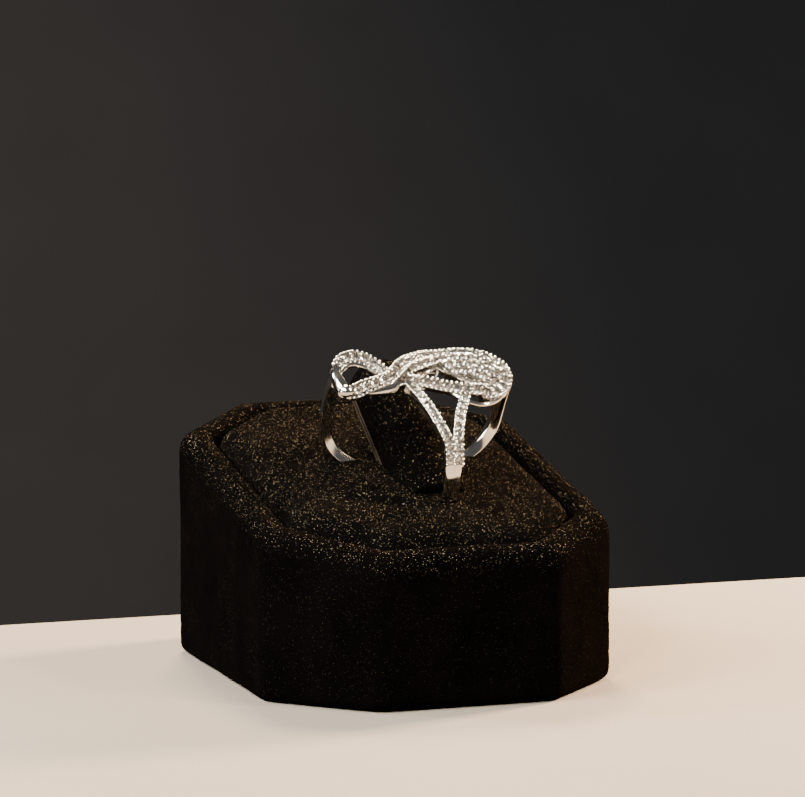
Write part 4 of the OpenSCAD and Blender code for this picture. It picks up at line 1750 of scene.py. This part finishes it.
@dataclass
class Tongue:
    """The half-round velvet tongue. A row: away from the viewer, up, slope, radius, depth of the sides."""

    at: RingFrame
    across: float = -0.3
    foot: float = -5.9
    rows: tuple[Row, ...] = (
        (-4, -6.4, 27, 4.6, 2.4),
        (0, -4.3, 26, 4.4, 2.4),
        (3, -2.95, 24, 4.2, 2.4),
        (6, -1.7, 22, 4.1, 2.2),
        (9, -0.6, 20, 4.1, 2.01),
        (12, 0.42, 18.5, 4.1, 1.75),
        (15, 1.36, 17.5, 4.1, 1.49),
        (18, 2.25, 16.5, 4.1, 1.1),
        (20.1, 2.85, 16, 4.1, 1.1),
        (20.9, 3.05, 16, 3.4, 0.6),
    )
    # The stitched lower edge, from the sole up the side: how far in from the side, and how far up.
    edge: tuple[Row, ...] = ((0.75, 0.03), (0.35, 0.0), (0.08, 0.12), (0.0, 0.4), (0.06, 0.72), (0.0, 1.05))
    sole: float = 0.06
    steps: int = 6
    arc_step: int = 6
    band_inside: float = 8.0
    tube_sides: int = 160
    cutter: float = 60
    front: tuple[float, float, float] = (30, 20, 30)
    voxel: float = 0.22
    # The slot is cut smaller than the tongue, so that the pile closes round it.
    slot_grow: float = -0.12
    welt_r: float = 0.15
    welt_sides: int = 10
    welt_places: tuple[tuple[float, float], ...] = ((-0.02, 0.2), (-0.02, 0.85))
    welt_steps: int = 4
    welt_face: tuple[float, float, float] = (0.1, 0.2, 1)
    welt_foot: float = 0.4
    welt_inside: float = 7.9

    def spot(self, row: Row, x: float, y: float) -> Vector:
        """A point of the row's section in ring millimetres, x across it and y over its axis."""
        turn = math.radians(row[2])
        return Vector((self.across + x, row[0] - y * math.sin(turn), row[1] + y * math.cos(turn)))

    def section(self, row: Row, grow: float) -> list[Vector]:
        """One section: the round back, and below it sides that end in a stitched edge.

        Args:
            row: the row of the table.
            grow: how much larger it is all round.

        Returns:
            Its points, in the row frame.
        """
        r, s = row[3] + grow, row[4] + grow
        right = [(r - inward, up - s) for inward, up in self.edge]
        left = [(-x, y) for x, y in right]
        turns = [math.radians(degrees) for degrees in range(180, -1, -self.arc_step)]
        back = [(r * math.cos(a), r * math.sin(a)) for a in turns]
        line = [*right[1::-1], (0.0, self.sole - s), *left, *back, *right[:1:-1]]
        return [self.at.matrix() @ self.spot(row, x, y) for x, y in line]

    def welt(self, sign: int, outward: float, above: float) -> Piece:
        """One thin welt along a lower side, from the cushion up to the tip, but not through the band.

        Args:
            sign: -1 for the left side, 1 for the right.
            outward: how far its middle is out from the side.
            above: how far its middle is over the sole.

        Returns:
            The welt.
        """
        stations = []
        for row in smooth(self.rows[:-1], self.welt_steps):
            spot = self.spot(row, sign * (row[3] + outward), above - row[4])
            inside = spot.y > 0 or spot.yz.length < self.welt_inside
            if spot.z > self.foot + self.welt_foot and inside:
                stations.append(Station(spot, Vector(self.welt_face).normalized()))
        profile = wire_profile(self.welt_r, self.welt_sides)
        return loft("welt", sections_of(stations, profile, self.at.matrix()))

    def welts(self, material: Material) -> Piece:
        """The corded edge: two thin welts along each lower side.

        Args:
            material: the cord, whose colour, lighter than the velvet, is a painted highlight.

        Returns:
            The piece.
        """
        parts = [self.welt(sign, *place) for sign in (-1, 1) for place in self.welt_places]
        obj = join("tongue_corded_edge", parts)
        smooth_shade(obj, ROUND_CREASE)
        return finish_piece(obj, material, ["stand_tongue"])

    def body(self, name: str, grow: float) -> Piece:
        """The tongue's solid, cut level at its foot and round where it faces the band.

        Args:
            name: the solid's name.
            grow: how much larger it is all round.

        Returns:
            The solid.
        """
        obj = loft(name, [self.section(row, grow) for row in smooth(self.rows, self.steps)])
        place = self.at.matrix()
        bpy.ops.mesh.primitive_cube_add(size=self.cutter)
        block = bpy.context.object
        block.matrix_world = place @ Matrix.Translation((0, 0, self.foot - grow - self.cutter / 2))
        flatten(block)
        bpy.ops.mesh.primitive_cylinder_add(
            vertices=self.tube_sides, radius=self.band_inside + grow, depth=self.cutter,
            rotation=(0, math.pi / 2, 0))
        tube = bpy.context.object
        flatten(tube)
        bpy.ops.mesh.primitive_cube_add(size=1)
        front = bpy.context.object
        forward = Matrix.Translation((0, -self.front[1] / 2, 0))
        front.matrix_world = forward @ Matrix.Diagonal((*self.front, 1))
        flatten(front)
        apply_modifier(front, "BOOLEAN", operation="DIFFERENCE", object=tube, solver="EXACT")
        front.data.transform(place)
        for cutter in (block, front):
            apply_modifier(obj, "BOOLEAN", operation="DIFFERENCE", object=cutter, solver="EXACT")
        for cutter in (block, front, tube):
            bpy.data.objects.remove(cutter)
        return obj

    def build(self, material: Material) -> Piece:
        """Dresses the tongue in velvet.

        Args:
            material: its velvet.

        Returns:
            The piece.
        """
        obj = self.body("tongue_velvet_bar", 0.0)
        soften(obj, self.voxel, passes=3)
        Nap(fine=0.05, coarse=0.08, seed=3).roughen(obj)
        shade_all_smooth(obj)
        return finish_piece(obj, material, ["stand_tongue"])


# The studio


@dataclass(frozen=True)
class Lamp:
    """A soft square light. Millimetres and watts."""

    name: str
    place: tuple[float, float, float]
    size: float
    power: float
    colour: str

    def add(self, aim: Vector) -> None:
        """Adds the light.

        Args:
            aim: the point that it faces.
        """
        data = bpy.data.lights.new(self.name, "AREA")
        data.size, data.energy, data.color = self.size * MM, self.power, linear(self.colour)[:3]
        obj = bpy.data.objects.new(self.name, data)
        obj.location = Vector(self.place) * MM
        obj.rotation_euler = (aim - Vector(self.place)).to_track_quat("-Z", "Y").to_euler()
        bpy.context.collection.objects.link(obj)


@dataclass
class Studio:
    """Table, backdrop, camera and soft lights. Millimetres."""

    eye: tuple[float, float, float] = (-177.66, -518.45, 104.88)
    look: tuple[float, float, float] = (0.3241, 0.9375, -0.1264)
    lens: float = 191.2
    sensor: float = 36
    aim: tuple[float, float, float] = (0, 0, 25)
    half_width: float = 1500
    table: tuple[float, float] = (-900, 45)
    backdrop: float = 750
    backdrop_ends: tuple[float, float] = (-1800, 900)
    glow: str = "#C9CBD0"
    glow_strength: float = 0.16
    lamps: tuple[Lamp, ...] = (
        Lamp("key_right", (430, 120, 190), 90, 27.0, "#FFD8AE"),
        Lamp("top_back", (60, 300, 430), 130, 11.0, "#FFDDB4"),
        Lamp("front_left", (-330, -480, 380), 120, 8.5, "#FFF7EC"),
        Lamp("upper_left", (-420, -130, 410), 300, 13.0, "#FFF7EA"),
        Lamp("high_right", (340, -320, 410), 60, 4.5, "#FFF0DC"),
        Lamp("back_left", (-400, 220, 380), 80, 4.0, "#F2F5FF"),
        Lamp("low_left", (-430, -60, 85), 40, 0.8, "#FFFFFF"),
    )

    def camera(self) -> None:
        """Adds the camera at the photograph's viewpoint."""
        data = bpy.data.cameras.new("view")
        data.lens, data.sensor_width, data.sensor_fit = self.lens, self.sensor, "HORIZONTAL"
        data.clip_start = 0.01
        obj = bpy.data.objects.new("view", data)
        obj.location = Vector(self.eye) * MM
        obj.rotation_euler = Vector(self.look).to_track_quat("-Z", "Y").to_euler()
        bpy.context.collection.objects.link(obj)
        bpy.context.scene.camera = obj

    def board(self, name: str, paper: MattPaper, near: Row, far: Row) -> None:
        """Adds one wide flat board.

        Args:
            name: its name.
            paper: its finish.
            near: its first edge, as the distance away and the height.
            far: its last edge.
        """
        leave_edit()
        bpy.ops.mesh.primitive_grid_add(x_subdivisions=2, y_subdivisions=2, size=2)
        obj = bpy.context.object
        obj.name = name
        first, last = Vector((0, *near)), Vector((0, *far))
        for vert in obj.data.vertices:
            middle = first.lerp(last, (vert.co.y + 1) / 2)
            vert.co = (middle + Vector((vert.co.x * self.half_width, 0, 0))) * MM
        obj.data.materials.append(paper.material())

    def world(self) -> None:
        """Lights the room evenly and softly."""
        world = bpy.data.worlds.new("soft_room")
        world.use_nodes = True
        world.node_tree.nodes.clear()
        glow = add_node(world.node_tree, "ShaderNodeBackground",
                        {"Color": linear(self.glow), "Strength": self.glow_strength})
        add_node(world.node_tree, "ShaderNodeOutputWorld", links={"Surface": glow.outputs["Background"]})
        bpy.context.scene.world = world

    def build(self) -> None:
        """Sets up the camera, the table, which ends behind the stand, the backdrop and the lights."""
        self.camera()
        (start, end), (low, high) = self.table, self.backdrop_ends
        self.board("table", MattPaper("matt_paper_table", "#7C756C", "#746D64"), (start, 0), (end, 0))
        self.board("backdrop", MattPaper("matt_paper_backdrop", "#1D1F22", "#191A1D"),
                   (self.backdrop, low), (self.backdrop, high))
        self.world()
        for lamp in self.lamps:
            lamp.add(Vector(self.aim))


def build_ring(at: RingFrame, shank: Shank) -> None:
    """Builds the ring's metal, stones, beads and claws.

    Args:
        at: where the ring stands.
        shank: its band, arms and bow.
    """
    silver, stone = PolishedSilver().material(), CutStone().material()
    head, crest = HeadStrands(at), Crest(at)
    head.build(silver)
    crest.build(silver)
    shank.build(silver)
    Gallery(at).build(silver)

    beads, rim = Beads(), RimBeads(at)
    strands = [*head.paved().values(), *[shank.stations(name) for name in ("left_arm", "right_arm")]]
    rim.build(strands, crest.rim_line(rim.inset), beads.model(), silver)

    seats: list[Seat] = []
    for node in ("loop_stones", "crossing_stones", "crest_stones", "front_stones", "leg_stones"):
        found = read_seats(node)
        Stones(node).build(found, stone)
        seats += found
    beads.build(seats, silver)
    Claws(at).build(seats, silver)


def build_stand(at: RingFrame, shank: Shank) -> None:
    """Builds the stand's case, cushion and tongue in velvet, with slots where the ring goes in.

    Args:
        at: where the ring stands.
        shank: the strands that cut the slots.
    """
    cushion_velvet = Velvet("black_cotton_velvet_cushion", brushed="#050404", glint_share=0.25)
    tongue_velvet = Velvet("black_cotton_velvet_tongue", glint_share=0.16)
    # Painted highlight of the lit edges: the cord's brown colour, lighter than the velvet, and its glints
    # kept full on the walls.
    cord = Velvet("black_cord_painted_highlight", colour="#171310", brushed="#241E18", tip="#5C5042", sheen=0.03,
                  wall_glint=1.0)
    stand, tongue = Stand(), Tongue(at)
    stand.case(Velvet("black_cotton_velvet_case").material())
    cutters = [shank.cutter(name) for name in ("band", "left_bow", "right_bow")]
    cutters.append(tongue.body("tongue_slot", tongue.slot_grow))
    stand.cushion(cushion_velvet.material(), cutters)
    tongue.build(tongue_velvet.material())
    tongue.welts(cord.material())


def main() -> None:
    """Builds every piece and the studio."""
    logging.basicConfig(level=logging.INFO, format="%(name)s %(message)s", stream=sys.stdout)
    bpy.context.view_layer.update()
    at = RingFrame()
    shank = Shank(at)
    build_ring(at, shank)
    build_stand(at, shank)
    Studio().build()


if __name__ == "__main__":
    main()
